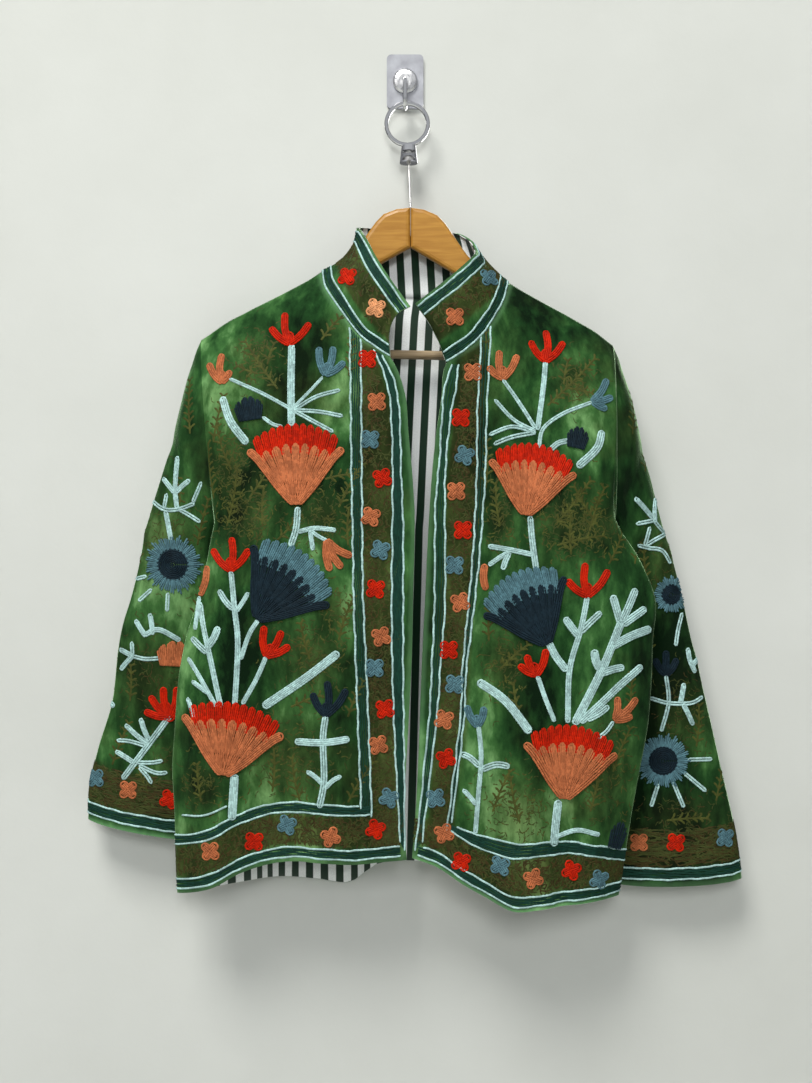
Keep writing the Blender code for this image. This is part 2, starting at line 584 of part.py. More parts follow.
def pull_back(points, edges, tube):
    """Draws the named edges of a grid back from their seams."""
    moved = points.copy()
    if "top" in edges:
        moved[0] += away_from_seam(points[0], points[1], tube) * SEAM_PULL
    if "start" in edges:
        moved[:, 0] += away_from_seam(points[:, 0], points[:, 1], False) * SEAM_PULL
    if "end" in edges:
        moved[:, -1] += away_from_seam(points[:, -1], points[:, -2], False) * SEAM_PULL
    return moved


def material(name, colour, roughness, metallic=0.0, sheen=0.0):
    made = bpy.data.materials.new(name)
    made.use_nodes = True
    shader = made.node_tree.nodes["Principled BSDF"]
    shader.inputs["Base Color"].default_value = (*colour, 1)
    shader.inputs["Roughness"].default_value = roughness
    shader.inputs["Metallic"].default_value = metallic
    shader.inputs["Sheen Weight"].default_value = sheen
    made.diffuse_color = (*colour, 1)
    return made


def add_object(name, mesh_builder, finish, smooth=True):
    """Turns a bmesh into a named object with its faces pointing out."""
    bmesh.ops.recalc_face_normals(mesh_builder, faces=mesh_builder.faces)
    mesh = bpy.data.meshes.new(name)
    mesh_builder.to_mesh(mesh)
    mesh_builder.free()
    made = bpy.data.objects.new(name, mesh)
    made.data.materials.append(finish)
    bpy.context.scene.collection.objects.link(made)
    if smooth:
        mesh.shade_smooth()
        mesh.set_sharp_from_angle(angle=math.radians(40))
    return made


def wall_mesh(outer, inner, tube):
    """A closed cloth wall between two grids of points."""
    build = bmesh.new()
    rows, columns = outer.shape[:2]
    skins = [[[build.verts.new(point) for point in row] for row in grid] for grid in (outer, inner)]
    last = columns if tube else columns - 1
    for row in range(rows - 1):
        for column in range(last):
            beside = (column + 1) % columns
            for skin in skins:
                below = skin[row + 1]
                build.faces.new((skin[row][column], skin[row][beside], below[beside], below[column]))
    for row in (0, rows - 1):
        one, two = skins[0][row], skins[1][row]
        for column in range(last):
            beside = (column + 1) % columns
            build.faces.new((one[column], one[beside], two[beside], two[column]))
    if not tube:
        for column in (0, columns - 1):
            one, two = [[points[column] for points in skin] for skin in skins]
            for row in range(rows - 1):
                build.faces.new((one[row], one[row + 1], two[row + 1], two[row]))
    return build


def add_cloth(name, piece, normals, start, end, finish):
    """A cloth wall from one depth below the outer points to another."""
    outer = pull_back(piece["grid"] - normals * start, piece["seams"], piece["tube"])
    inner = pull_back(piece["grid"] - normals * end, piece["seams"], piece["tube"])
    return add_object(name, wall_mesh(outer, inner, piece["tube"]), finish)


def cloth_pieces():
    panel_seams = ("top", "start", "end")
    return {
        "front_left": {"grid": front_grid("left"), "tube": False, "facing": 1, "seams": panel_seams},
        "front_right": {"grid": front_grid("right"), "tube": False, "facing": -1, "seams": panel_seams},
        "back_panel": {"grid": back_grid(), "tube": False, "facing": 1, "seams": panel_seams},
        "sleeve_left": {"grid": sleeve_grid("left"), "tube": True, "facing": -1, "seams": ("top",)},
        "sleeve_right": {"grid": sleeve_grid("right"), "tube": True, "facing": 1, "seams": ("top",)},
        "collar": {"grid": collar_grid(), "tube": False, "facing": -1, "seams": ("top",)},
    }


def add_jacket():
    velvet = material("velvet", (0.030, 0.105, 0.035), 0.85, sheen=0.6)
    stripe = material("striped_lining", (0.42, 0.50, 0.48), 0.75)
    cloth = cloth_pieces()
    normals = shared_normals(cloth)
    backed = ("back_panel", "collar")
    for name, piece in cloth.items():
        depth = SHELL if name in backed else CLOTH
        add_cloth(name, piece, normals[name], 0, depth, velvet)
    add_cloth("lining_back", cloth["back_panel"], normals["back_panel"], LINING_START, CLOTH, stripe)
    add_cloth("lining_collar", cloth["collar"], normals["collar"], LINING_START, CLOTH, stripe)


def extruded(outline, front, back):
    """A closed solid from an outline of x and z, between two depths."""
    build = bmesh.new()
    rings = [[build.verts.new((x, y, z)) for x, z in outline] for y in (front, back)]
    for ring in rings:
        build.faces.new(ring)
    for index in range(len(outline)):
        beside = (index + 1) % len(outline)
        build.faces.new((rings[0][index], rings[0][beside], rings[1][beside], rings[1][index]))
    return build


def turned(profile, axis_point, sides, axis):
    """A closed solid turned from radius and height pairs about Y or Z."""
    build = bmesh.new()
    rings = []
    for radius, height in profile:
        ring = []
        for step in range(sides):
            angle = 2 * math.pi * step / sides
            one, two = radius * math.cos(angle), radius * math.sin(angle)
            offset = (one, height, two) if axis == "Y" else (one, two, height)
            ring.append(build.verts.new(np.add(axis_point, offset)))
        rings.append(ring)
    for low, high in zip(rings, rings[1:]):
        for step in range(sides):
            beside = (step + 1) % sides
            build.faces.new((low[step], low[beside], high[beside], high[step]))
    build.faces.new(rings[0])
    build.faces.new(rings[-1])
    return build


def inset(outline, by):
    """An outline of x and z drawn in by a distance, its corners kept square."""
    points = np.array(outline)
    forward = np.roll(points, -1, axis=0) - points
    forward /= np.linalg.norm(forward, axis=1, keepdims=True)
    turn = np.sign(np.sum(points[:, 0] * np.roll(points[:, 1], -1) - np.roll(points[:, 0], -1) * points[:, 1]))
    inward = np.stack([-forward[:, 1], forward[:, 0]], 1) * turn
    both = inward + np.roll(inward, 1, axis=0)
    return points + by * 2 * both / np.sum(both * both, axis=1, keepdims=True)


def rounded_slab(outline, middle, thick, round_by, steps):
    """A closed slab from an outline of x and z, its edges rounded in front and behind."""
    build = bmesh.new()
    layers = []
    for facing in (-1, 1):
        turns = [math.pi / 2 * step / steps for step in range(steps + 1)]
        for angle in turns if facing > 0 else reversed(turns):
            y = middle + facing * (thick / 2 - round_by * (1 - math.sin(angle)))
            ring = inset(outline, round_by * (1 - math.cos(angle)))
            layers.append([build.verts.new((x, y, z)) for x, z in ring])
    for one, two in zip(layers, layers[1:]):
        for index in range(len(outline)):
            beside = (index + 1) % len(outline)
            build.faces.new((one[index], one[beside], two[beside], two[index]))
    build.faces.new(layers[0])
    build.faces.new(layers[-1])
    return build


def add_hanger_half(side, finish):
    """One arm of the hanger, glued to the other at the centre."""
    out = TEE[side]
    upper = list(zip(HANGER_TOP["reach"], HANGER_TOP["height"]))
    foot = list(zip(HANGER_FOOT_OUTLINE["reach"], HANGER_FOOT_OUTLINE["height"]))
    under = list(zip(HANGER_UNDER["reach"], HANGER_UNDER["height"]))
    outline = []
    for reach, height in upper + list(reversed(foot)) + list(reversed(under)):
        x = HANGER_X + out * max(reach, PIECE_GAP / 2)
        outline.append((x, height - HANGER_TILT * (x - HANGER_X)))
    add_object(
        "hanger_" + side,
        rounded_slab(outline, HANGER_Y, HANGER_THICK, HANGER_EDGE_ROUND, HANGER_EDGE_STEPS),
        finish,
    )


def add_trouser_bar(finish):
    """The round bar between the hanger's feet."""
    ends = [HANGER_X + out * (HANGER_FOOT - PIECE_GAP) for out in (-1, 1)]
    build = bmesh.new()
    rings = []
    for x in ends:
        ring = []
        for angle in turn_steps(BAR_SIDES):
            z = BAR_Z - HANGER_TILT * (x - HANGER_X) + BAR_RADIUS * math.sin(angle)
            ring.append(build.verts.new((x, HANGER_Y + BAR_RADIUS * math.cos(angle), z)))
        rings.append(ring)
        build.faces.new(ring)
    for step in range(BAR_SIDES):
        beside = (step + 1) % BAR_SIDES
        build.faces.new((rings[0][step], rings[0][beside], rings[1][beside], rings[1][step]))
    add_object("trouser_bar", build, finish)


def add_wall_plate(finish):
    """The adhesive plate, with round corners, flat against the wall."""
    half_x, half_z = PLATE_SIZE[0] / 2, PLATE_SIZE[1] / 2
    outline = []
    for corner in range(4):
        sign_x = 1 if corner in (0, 3) else -1
        sign_z = 1 if corner in (0, 1) else -1
        for step in range(6):
            angle = math.pi / 2 * (corner + step / 5)
            outline.append((
                sign_x * (half_x - PLATE_CORNER) + PLATE_CORNER * math.cos(angle),
                sign_z * (half_z - PLATE_CORNER) + PLATE_CORNER * math.sin(angle),
            ))
    add_object("wall_plate", extruded(outline, -PLATE_THICK, 0), finish)


def add_boss(finish):
    """The round boss on the plate that the hook stands in."""
    start = -PLATE_THICK - PIECE_GAP
    profile = [(BOSS_RADIUS, start), (BOSS_RADIUS, -0.0062), (0.0118, -0.0078), (0.0075, BOSS_FRONT)]
    add_object("hook_boss", turned(profile, (0, 0, 0), 28, "Y"), finish)


def add_wall_hook(finish):
    """The bent wire hook that the ring hangs on."""
    back_y = HOOK_Y + HOOK_BEND
    route = [(0, BOSS_FRONT - PIECE_GAP, 0.0)]
    for step in range(5):
        angle = math.pi / 2 * step / 4
        route.append((0, back_y + HOOK_TURN * (1 - math.sin(angle)), -HOOK_TURN * (1 - math.cos(angle))))
    route += [(0, back_y, z) for z in (-0.0120, -0.0190)]
    for step in range(13):
        angle = math.pi * step / 12
        route.append((0, HOOK_Y + HOOK_BEND * math.cos(angle), HOOK_BEND_Z - HOOK_BEND * math.sin(angle)))
    route += [(0, HOOK_Y - HOOK_BEND, z) for z in (-0.0190, HOOK_TIP_Z)]
    curve = bpy.data.curves.new("wall_hook", "CURVE")
    curve.dimensions = "3D"
    curve.bevel_depth = HOOK_WIRE
    curve.bevel_resolution = 2
    curve.use_fill_caps = True
    line = curve.splines.new("POLY")
    line.points.add(len(route) - 1)
    for point, place in zip(line.points, route):
        point.co = (*place, 1)
    made = bpy.data.objects.new("wall_hook", curve)
    curve.materials.append(finish)
    bpy.context.scene.collection.objects.link(made)


def add_box(name, size, middle, finish):
    build = bmesh.new()
    bmesh.ops.create_cube(build, size=1)
    made = add_object(name, build, finish, smooth=False)
    made.dimensions = size
    made.location = middle
    return made


def add_ring(finish):
    """The ring and the slotted cup below it that holds the pin's head."""
    build = bmesh.new()
    half = RING_DEPTH / 2
    section = [
        (RING_INNER + 0.0007, -half), (RING_OUTER - 0.0007, -half), (RING_OUTER, -half + 0.0012),
        (RING_OUTER, half - 0.0012), (RING_OUTER - 0.0007, half), (RING_INNER + 0.0007, half),
        (RING_INNER, half - 0.0012), (RING_INNER, -half + 0.0012),
    ]
    loops = []
    for angle in turn_steps(RING_SIDES):
        across, up = math.cos(angle), math.sin(angle)
        loops.append([
            build.verts.new((RING_X + radius * across, HOOK_Y + deep, RING_Z + radius * up))
            for radius, deep in section
        ])
    for step in range(RING_SIDES):
        one, two = loops[step], loops[(step + 1) % RING_SIDES]
        for index in range(len(section)):
            beside = (index + 1) % len(section)
            build.faces.new((one[index], one[beside], two[beside], two[index]))
    ring = add_object("ring", build, finish)
    axis = (CUP_X, HOOK_Y, 0)
    inside = CUP_RADIUS - CUP_WALL
    body = [(CUP_NECK_RADIUS, CUP_TOP), (CUP_RADIUS, CUP_BOTTOM)]
    room = [(inside, CUP_BOTTOM + CUP_WALL), (inside - CUP_TAPER, CUP_TOP - CUP_CEILING)]
    cup = add_object("cup", turned(body, axis, CUP_SIDES, "Z"), finish)
    hollow = add_object("cup_hollow", turned(room, axis, CUP_SIDES, "Z"), finish)
    slot = add_box(
        "cup_slot",
        (2 * inside - 0.0020, SLOT_REACH, SLOT_HEIGHT),
        (CUP_X, HOOK_Y - SLOT_REACH / 2, CUP_BOTTOM + CUP_WALL + SLOT_HEIGHT / 2),
        finish,
    )
    key_back = HOOK_Y + KEY_SIZE[0] / 2
    key = add_box("cup_key", KEY_SIZE, (CUP_X, key_back - KEY_SIZE[1] / 2, CUP_BOTTOM), finish)
    for cutter in (cup, hollow, slot, key):
        cutter.hide_render = True
        cutter.display_type = "WIRE"
    for name, other, operation in (
        ("join_cup", cup, "UNION"), ("cut_hollow", hollow, "DIFFERENCE"),
        ("cut_slot", slot, "DIFFERENCE"), ("cut_key", key, "DIFFERENCE"),
    ):
        cut = ring.modifiers.new(name, "BOOLEAN")
        cut.object = other
        cut.operation = operation
        cut.solver = "EXACT"


def add_pin(finish):
    """The thin rod that carries the hanger, with its head in the cup."""
    head_z = CUP_BOTTOM + CUP_WALL + PIECE_GAP
    top = Vector((CUP_X, HOOK_Y, 0))
    foot = Vector((HANGER_X, HANGER_Y, 0))
    foot_z = HANGER_TOP["height"][0] + PIECE_GAP
    stations = [
        (top, PIN_HEAD_RADIUS * 0.55, head_z + 0.0062), (top, PIN_HEAD_RADIUS, head_z + 0.0040),
        (top, PIN_HEAD_RADIUS, head_z), (top, PIN_RADIUS, head_z), (foot, PIN_RADIUS, foot_z),
    ]
    build = bmesh.new()
    made = []
    for axis, radius, z in stations:
        made.append([
            build.verts.new((axis.x + radius * math.cos(angle), axis.y + radius * math.sin(angle), z))
            for angle in turn_steps(PIN_SIDES)
        ])
    for one, two in zip(made, made[1:]):
        for step in range(PIN_SIDES):
            beside = (step + 1) % PIN_SIDES
            build.faces.new((one[step], one[beside], two[beside], two[step]))
    build.faces.new(made[0])
    build.faces.new(made[-1])
    add_object("pin", build, finish)


def turn_steps(sides):
    return [2 * math.pi * step / sides for step in range(sides)]


def add_hardware():
    wood = material("hanger_wood", (0.60, 0.35, 0.12), 0.45)
    bar_wood = material("bar_wood", (0.28, 0.20, 0.13), 0.6)
    plastic = material("clear_plate", (0.62, 0.62, 0.72), 0.25)
    chrome = material("chrome", (0.80, 0.80, 0.80), 0.12, metallic=1.0)
    steel = material("pin_steel", (0.70, 0.68, 0.64), 0.3, metallic=1.0)
    for side in TEE:
        add_hanger_half(side, wood)
    add_trouser_bar(bar_wood)
    add_wall_plate(plastic)
    add_boss(chrome)
    add_wall_hook(chrome)
    add_ring(chrome)
    add_pin(steel)


def main():
    for thing in list(bpy.data.objects):
        bpy.data.objects.remove(thing, do_unlink=True)
    add_jacket()
    add_hardware()


main()
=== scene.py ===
"""A velvet suzani jacket on its wooden hanger, hung from a ring on a wall hook.

The cloth follows the cut of the CAD part, read at finer steps, with smaller creases laid on. Its embroidery
is rows of chain stitch: each motif is a function that draws rows in its own sizes, and the rows are laid on
the cloth. Metres, +Z up, the wall at y = 0 and the jacket's front towards -Y. Motifs and most tables are in
millimetres.
"""

import math
import random
from functools import partial

import bpy
import numpy as np
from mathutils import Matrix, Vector
from mathutils.bvhtree import BVHTree


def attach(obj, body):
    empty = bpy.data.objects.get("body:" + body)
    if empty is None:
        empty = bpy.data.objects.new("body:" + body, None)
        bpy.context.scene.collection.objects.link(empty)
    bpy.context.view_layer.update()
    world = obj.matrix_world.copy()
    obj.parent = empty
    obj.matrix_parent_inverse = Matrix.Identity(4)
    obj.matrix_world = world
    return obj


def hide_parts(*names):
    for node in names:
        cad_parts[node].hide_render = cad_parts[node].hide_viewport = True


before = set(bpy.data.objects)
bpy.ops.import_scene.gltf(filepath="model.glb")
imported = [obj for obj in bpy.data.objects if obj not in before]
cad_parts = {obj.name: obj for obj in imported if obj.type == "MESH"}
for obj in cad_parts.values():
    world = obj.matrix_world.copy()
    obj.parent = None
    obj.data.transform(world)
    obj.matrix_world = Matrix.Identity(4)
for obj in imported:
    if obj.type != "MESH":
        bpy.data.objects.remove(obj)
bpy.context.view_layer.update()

MM = 0.001
# Cloth thicknesses
CLOTH = 0.0030
SHELL = 0.0017
LINING_START = 0.0020
# Rise of the shoulder seam above the hanger's top
SEAM_LIFT = 0.0040
# Middle of the hanger, its slope, and how steeply its height falls past its ends
HANGER_X = 0.006
HANGER_TILT = 0.0227
HANGER_END_SLOPE = 0.85

# Rows of the panels: 0 shoulder seam, 2 front of the hanger, 6 neck corner, 10 underarm, 19 hem
NECK_ROW = 6
UNDERARM_ROW = 10
HEM_ROW = 19
# Rows of a sleeve: 0 armhole, 10 cuff
CUFF_ROW = 10
# Columns of a front, as shares of the way from its front edge to its seam
FRONT_SHARES = (0, 0.11, 0.22, 0.33, 0.44, 0.55, 0.66, 0.76, 0.84, 0.91, 0.96, 1)
NECK_SHARES = (0.06, 0.17, 0.33, 0.5, 0.67, 0.83, 0.94)
# Places across a front (edge, breast, middle, turn, side fold, seam) and across the back where its form
# is given
FRONT_STATIONS = (0, 0.27, 0.55, 0.80, 0.91, 1)
BACK_STATIONS = (-2, -1.8, -1.55, -1, 0, 1, 1.55, 1.8, 2)
# Depth of the back's middle
BACK_DEPTH = -0.0085
# Rows of the collar above its neck seam
COLLAR_ROWS = 4
# Columns of the collar, from its left end: those at the two sides of the back neck, and its last
BACK_NECK_START = 6
BACK_NECK_END = 12
COLLAR_END = 18
# Which way across each side lies
SIDES = {"left": -1, "right": 1}


def table(columns, *rows):
    """A table's columns by name."""
    return dict(zip(columns.split(), np.array(rows, float).T))


def in_mm(columns, *rows):
    """A table whose first column is a row or a share, and the others lengths in millimetres."""
    first, *lengths = table(columns, *rows).items()
    return dict([first] + [(name, values * MM) for name, values in lengths])


def folds(*rows):
    """A table of folds, in millimetres."""
    made = table("top_x top_z foot_x foot_z width out", *rows)
    return {name: values * MM for name, values in made.items()}


def flow(stations, values, where):
    """Values read at some places along a smooth curve through a table's stations."""
    stations = np.asarray(stations, float)
    values = np.asarray(values, float)
    where = np.asarray(where, float)
    slopes = np.gradient(values, stations, axis=0)
    at = np.clip(np.searchsorted(stations, where, "right") - 1, 0, len(stations) - 2)
    span = stations[at + 1] - stations[at]
    t = (where - stations[at]) / span
    if values.ndim > 1:
        t = t[..., None]
        span = span[..., None]
    start = (1 + 2 * t) * (1 - t) ** 2 * values[at] + t * (1 - t) ** 2 * span * slopes[at]
    end = t * t * (3 - 2 * t) * values[at + 1] + t * t * (t - 1) * span * slopes[at + 1]
    return start + end


def read(rows, where, columns):
    """The named columns of a table, read smoothly at a place in its first column."""
    stations = next(iter(rows.values()))
    return flow(stations, np.stack([rows[name] for name in columns.split()], -1), where)


def smooth(rows, where):
    """The second column of a table, read smoothly at a place in its first."""
    return flow(*rows.values(), where)


def straight(rows, where):
    """The second column of a table, read along straight lines."""
    return np.interp(where, *rows.values())


HANGER_TOP = table(
    "reach height",
    (0, -0.1487), (0.015, -0.1505), (0.0297, -0.1564), (0.0385, -0.1657), (0.0478, -0.179),
    (0.056, -0.1909), (0.0628, -0.2), (0.075, -0.213), (0.096, -0.229), (0.109, -0.2365), (0.143, -0.2532),
    (0.173, -0.268), (0.199, -0.2825), (0.206, -0.2872),
)
# The angle round the armhole at each row, in degrees, from the shoulder to the underarm
ARMHOLE_TURN = table(
    "row turn",
    (0, 0), (1, 10.4), (2, 18.4), (3, 37), (4, 54), (5, 70), (6, 86), (7, 103), (8, 122), (9, 150), (10, 180),
)
# Drop of the cloth where it bends over the hanger's top
CREST = table("row drop", (0, 0), (1, 0.0016), (2, 0.0054), (19, 0.0054))
# Drop of the back below its neckline, at the middle of the neck
BELOW_NECK = table("row drop", (0, 0), (1, 0.0080), (2, 0.0160), (3, 0.0054), (19, 0.0054))
# Share of the way from the hanger's top down to the underarm
FALL = table(
    "row share",
    (0, 0), (2, 0), (3, 0.077), (4, 0.185), (5, 0.311), (6, 0.45), (7, 0.602), (8, 0.759), (9, 0.931),
    (10, 1),
)
# Share of the shoulder's slope, and of the hem's waves, that each row of the cloth keeps
SHOULDER_SHAPE = table(
    "row keep",
    (0, 1), (2, 1), (3, 0.8), (4, 0.6), (5, 0.4), (6, 0.22), (8, 0.04), (10, 0), (19, 0),
)
HEM_SHAPE = table("row keep", (0, 0), (11, 0), (13, 0.12), (15, 0.35), (17, 0.70), (18, 0.86), (19, 1))

NECKLINE = in_mm(
    "row left_x left_y left_z right_x right_y right_z",
    (0, -91.4, -32, -219, 113.7, -32, -231.2), (1, -91.6, -37.4, -220.8, 113.6, -37.5, -232.8),
    (2, -91.4, -41.5, -224.5, 113, -41.8, -236.6), (3, -87, -56, -240, 106, -58.5, -257),
    (4, -73.5, -70, -262, 93.5, -71.5, -280), (5, -48, -82, -297.5, 74, -82, -305),
    (6, -16, -90, -320.2, 44, -90, -326.7),
)
FRONT_EDGE = in_mm(
    "row left_x left_z right_x right_z y",
    (6, -16, -320.2, 44, -326.7, -90), (7, -0.3, -359, 38.5, -366, -93), (8, 3.5, -400, 32.5, -406, -95),
    (10, 10, -483, 25.5, -487, -99), (12, 8.8, -565, 21.5, -568, -102), (14, 6.8, -647, 17.5, -648, -103),
    (16, 2.5, -729, 14.5, -729, -103), (18, -0.8, -811, 10.5, -809, -100), (19, 1.8, -852, 7.3, -850, -98),
)
SIDE_SEAM = in_mm(
    "row left_x left_z right_x right_z y",
    (10, -205, -505, 227.5, -500, -50), (11, -203.5, -540, 228, -536, -54),
    (12, -205, -580, 230, -578, -56.5), (14, -212, -667, 228, -666, -58.5),
    (16, -215, -756, 220, -755, -59), (19, -212, -890, 205, -890, -59),
)
# The side fold of each front: where it stands out furthest, how far in it turns, and the depths there
FRONT_FORM = {
    "left": in_mm(
        "row fold_x fold_y turn turn_y mid_y",
        (0, -212, -32, 14.6, -32, -32), (1, -212, -37.4, 14.6, -37.4, -37.4),
        (2, -212, -41.7, 14.6, -41.5, -41.5), (3, -211, -53, 20, -53.5, -53), (4, -209, -62, 24, -64, -64),
        (6, -204.5, -75, 28, -80, -81), (8, -200, -79, 28, -88, -92.5), (10, -205, -71, 28, -90.5, -98),
        (11, -213, -72.5, 29, -92, -100), (12, -223.5, -73.5, 30, -93, -101.5),
        (13, -236.5, -75, 30, -94, -102.5), (15, -246.2, -76, 30, -94.5, -103.5),
        (16, -249, -76, 30, -94.5, -104), (17, -247, -76, 30, -94.5, -104),
        (19, -243.8, -76, 30, -94.5, -104),
    ),
    "right": in_mm(
        "row fold_x fold_y turn turn_y mid_y",
        (0, 217.7, -32, 12.6, -32, -32), (1, 217.7, -37.5, 12.6, -37.5, -37.5),
        (2, 218, -41.8, 12.6, -41.7, -41.7), (3, 221.5, -53, 18, -53.5, -53), (4, 224, -62, 24, -64, -64),
        (6, 225, -75, 28, -80, -81), (8, 223.5, -79, 28, -88, -92.5), (10, 230, -73.5, 28, -90.5, -98),
        (11, 251.5, -72.5, 30, -92, -100), (12, 268, -74, 32, -93, -101.5), (13, 265.5, -75, 32, -94, -103),
        (15, 260, -76, 31, -94.5, -105), (16, 252, -76, 31, -94.5, -106), (17, 243.5, -76, 31, -95, -107),
        (19, 229, -76, 31, -96, -108),
    ),
}
# The back: where its side sections turn back towards the wall (tuck) and where they reach it (knee)
BACK_FORM = in_mm(
    "row left_tuck_x left_knee_x left_neck_x right_tuck_x right_knee_x right_neck_x tuck_y knee_y neck_y",
    (0, -197.5, -164.3, -91.4, 205.1, 176.6, 113.7, -32, -32, -32),
    (1, -197.5, -164.3, -91.4, 205.1, 176.6, 113.7, -26.6, -26.6, -26.6),
    (2, -197.5, -164.3, -91.4, 205.1, 176.6, 113.5, -22.5, -22.5, -21.5),
    (3, -196, -162, -92, 205, 175, 112, -16.5, -17, -16.5),
    (4, -194, -160, -93, 204.5, 173.5, 110, -13, -14, -13),
    (6, -189, -155, -94, 204, 171, 105, -10.5, -10.5, -10),
    (8, -185, -152, -95, 205.5, 170, 100, -15, -10, -8.5),
    (10, -186, -153, -95, 208.5, 171, 97, -35, -12, -8), (11, -180, -152, -95, 202, 170, 96, -43, -15, -8),
    (12, -178, -150, -95, 198, 168, 95, -48, -17, -8), (14, -177, -149, -95, 193, 164, 95, -50.5, -18, -8),
    (19, -177, -148, -95, 180, 152, 95, -51, -18, -8),
)
BACK_NECK = in_mm(
    "share x y z",
    (0, -91.4, -32, -219), (0.06, -89.5, -23.2, -221.2), (0.17, -80, -17, -229), (0.33, -50, -11.5, -239),
    (0.5, 8, -8.5, -245), (0.67, 68, -11.5, -242.5), (0.83, 101, -16.5, -237.5),
    (0.94, 111.8, -23.2, -232.8), (1, 113.7, -32, -231.2),
)
# Hem heights, by share across a front and by place across the back
FRONT_HEM = {
    "left": in_mm(
        "share height",
        (0, -852), (0.2, -856), (0.5, -853.5), (0.68, -869), (0.78, -883.5), (0.91, -891.5), (1, -890),
    ),
    "right": in_mm(
        "share height",
        (0, -850), (0.09, -856.3), (0.18, -870.1), (0.32, -890.1), (0.46, -903.2), (0.6, -900),
        (0.78, -897.5), (0.91, -893), (1, -890),
    ),
}
BACK_HEM = in_mm(
    "place height",
    (-1, -890), (-0.9, -885), (-0.78, -887.5), (-0.5, -893), (-0.3, -895), (-0.17, -877), (0, -871.5),
    (0.2, -876), (0.5, -886), (0.8, -890), (1, -890),
)
# Largest folds: a soft ridge (or a trough, where out is negative) that runs from its top down to its foot
FRONT_FOLDS = folds(
    (-112, -285, -125, -440, 16, -4), (-180, -345, -178, -480, 15, -4.5), (-150, -640, -166, -900, 22, -6),
    (-196, -660, -200, -900, 20, 6), (131, -290, 126, -430, 17, -4.5), (204, -390, 196, -500, 14, -4.5),
    (88, -690, 82, -900, 17, -5.5), (124, -640, 122, -905, 22, 7.5), (172, -690, 176, -900, 20, -4.5),
    (-70, -600, -78, -870, 26, 4),
)
BACK_FOLDS = folds(
    (-118, -330, -104, -880, 22, -6), (126, -350, 112, -880, 22, -6.5), (-34, -600, -46, -890, 20, -6),
    (48, -640, 44, -890, 18, -4.5),
)

# Sleeves: rings from the armhole to the cuff, each by its outer edge, its inner edge and half its depth
SLEEVE = in_mm(
    "row left_out_x left_out_z left_in_x left_in_z right_out_x right_out_z right_in_x right_in_z"
    " out_y in_y half",
    (0, -224, -294, -205, -505, 228, -299.8, 227.5, -500, -32, -50, 30),
    (1, -231.2, -312, -207.5, -509, 235.5, -318, 230, -504, -32, -48.5, 30),
    (2, -243.5, -357, -209.5, -515, 247, -360, 231.2, -510, -32, -46, 29),
    (3, -261.3, -423, -210, -524, 262, -416, 230, -519, -31, -42, 26.5),
    (4, -281.3, -489, -206, -541, 282, -495, 224, -537, -30, -37, 24),
    (5, -296.7, -559, -197, -576, 300.9, -560.7, 216, -576, -30, -33, 21.5),
    (6, -314.3, -625.7, -192, -633, 316.4, -630.1, 211, -637, -30, -31, 20.5),
    (7, -322.3, -690.8, -192, -696, 333, -699, 210, -705, -30, -30, 20),
    (8, -337.5, -741.5, -193, -756, 346.1, -756.9, 211, -770, -30, -30, 19.5),
    (9, -347.5, -785, -196, -806, 363, -830.8, 214, -837, -30, -30, 18.5),
    (10, -349.1, -819.8, -198, -843, 370.9, -884.8, 218, -888, -30, -30, 17.5),
)
# Drop of each cuff's middle below its ends, and the row where it starts
CUFF_SAG = 0.0062
CUFF_SAG_ROW = 8
# Bends across each sleeve, as soft troughs in its front and back walls
SLEEVE_BENDS = table(
    "row width deep",
    (2.6, 0.42, 0.0030), (4.6, 0.40, 0.0034), (6.5, 0.36, 0.0026), (8.2, 0.34, 0.0018),
)
# Collar: its top edge and the offset of its middle from the straight line, by column from the left end
COLLAR = in_mm(
    "column x y z mid_x mid_y mid_z",
    (0, 5.6, -87, -266, -9, -2, 9), (1, -13, -85, -240, -4, -3, 4), (2, -29, -74.5, -214, 0, -4, 1),
    (3, -40.5, -62, -191.5, 3, -3, -2), (4, -49, -47, -176.5, 7, 0, -4), (5, -51.5, -42, -173.5, 8, 0, -4),
    (6, -52.8, -36, -171.5, 9, 0, -4), (7, -44, -19, -168, 6, 0, -2), (8, -20, -10.5, -171, 2, 0, 0),
    (9, 6, -8.5, -175, 0, 0, 0), (10, 34, -9.5, -174.5, -1, 0, 0), (11, 58, -15, -173, -2, 0, 0),
    (12, 73.1, -30, -183.9, -3, 0, -1), (13, 76.5, -36.5, -190.5, -3, 0, -1),
    (14, 78.5, -43, -198.5, -3, 0, -1), (15, 73, -59, -207.5, -2, -3, 0), (16, 54, -74, -227, 0, -4, 0),
    (17, 33, -82, -245, 2, -3, 1), (18, 10.8, -87, -263, 3, -2, 2),
)


def hanger_top(x):
    """Height of the hanger's upper edge above a place along it."""
    reach = abs(x - HANGER_X)
    past_end = max(reach - HANGER_TOP["reach"][-1], 0)
    return straight(HANGER_TOP, reach) - HANGER_END_SLOPE * past_end - HANGER_TILT * (x - HANGER_X)


def inner_edge(side, row):
    """The neckline, then the front edge."""
    if row <= NECK_ROW:
        return read(NECKLINE, row, f"{side}_x {side}_y {side}_z")
    return read(FRONT_EDGE, row, f"{side}_x y {side}_z")


def sleeve_ring(side, row):
    """The outer edge, the inner edge and half the depth of a sleeve's ring."""
    outer = read(SLEEVE, row, f"{side}_out_x out_y {side}_out_z")
    inner = read(SLEEVE, row, f"{side}_in_x in_y {side}_in_z")
    return outer, inner, read(SLEEVE, row, "half")[0]


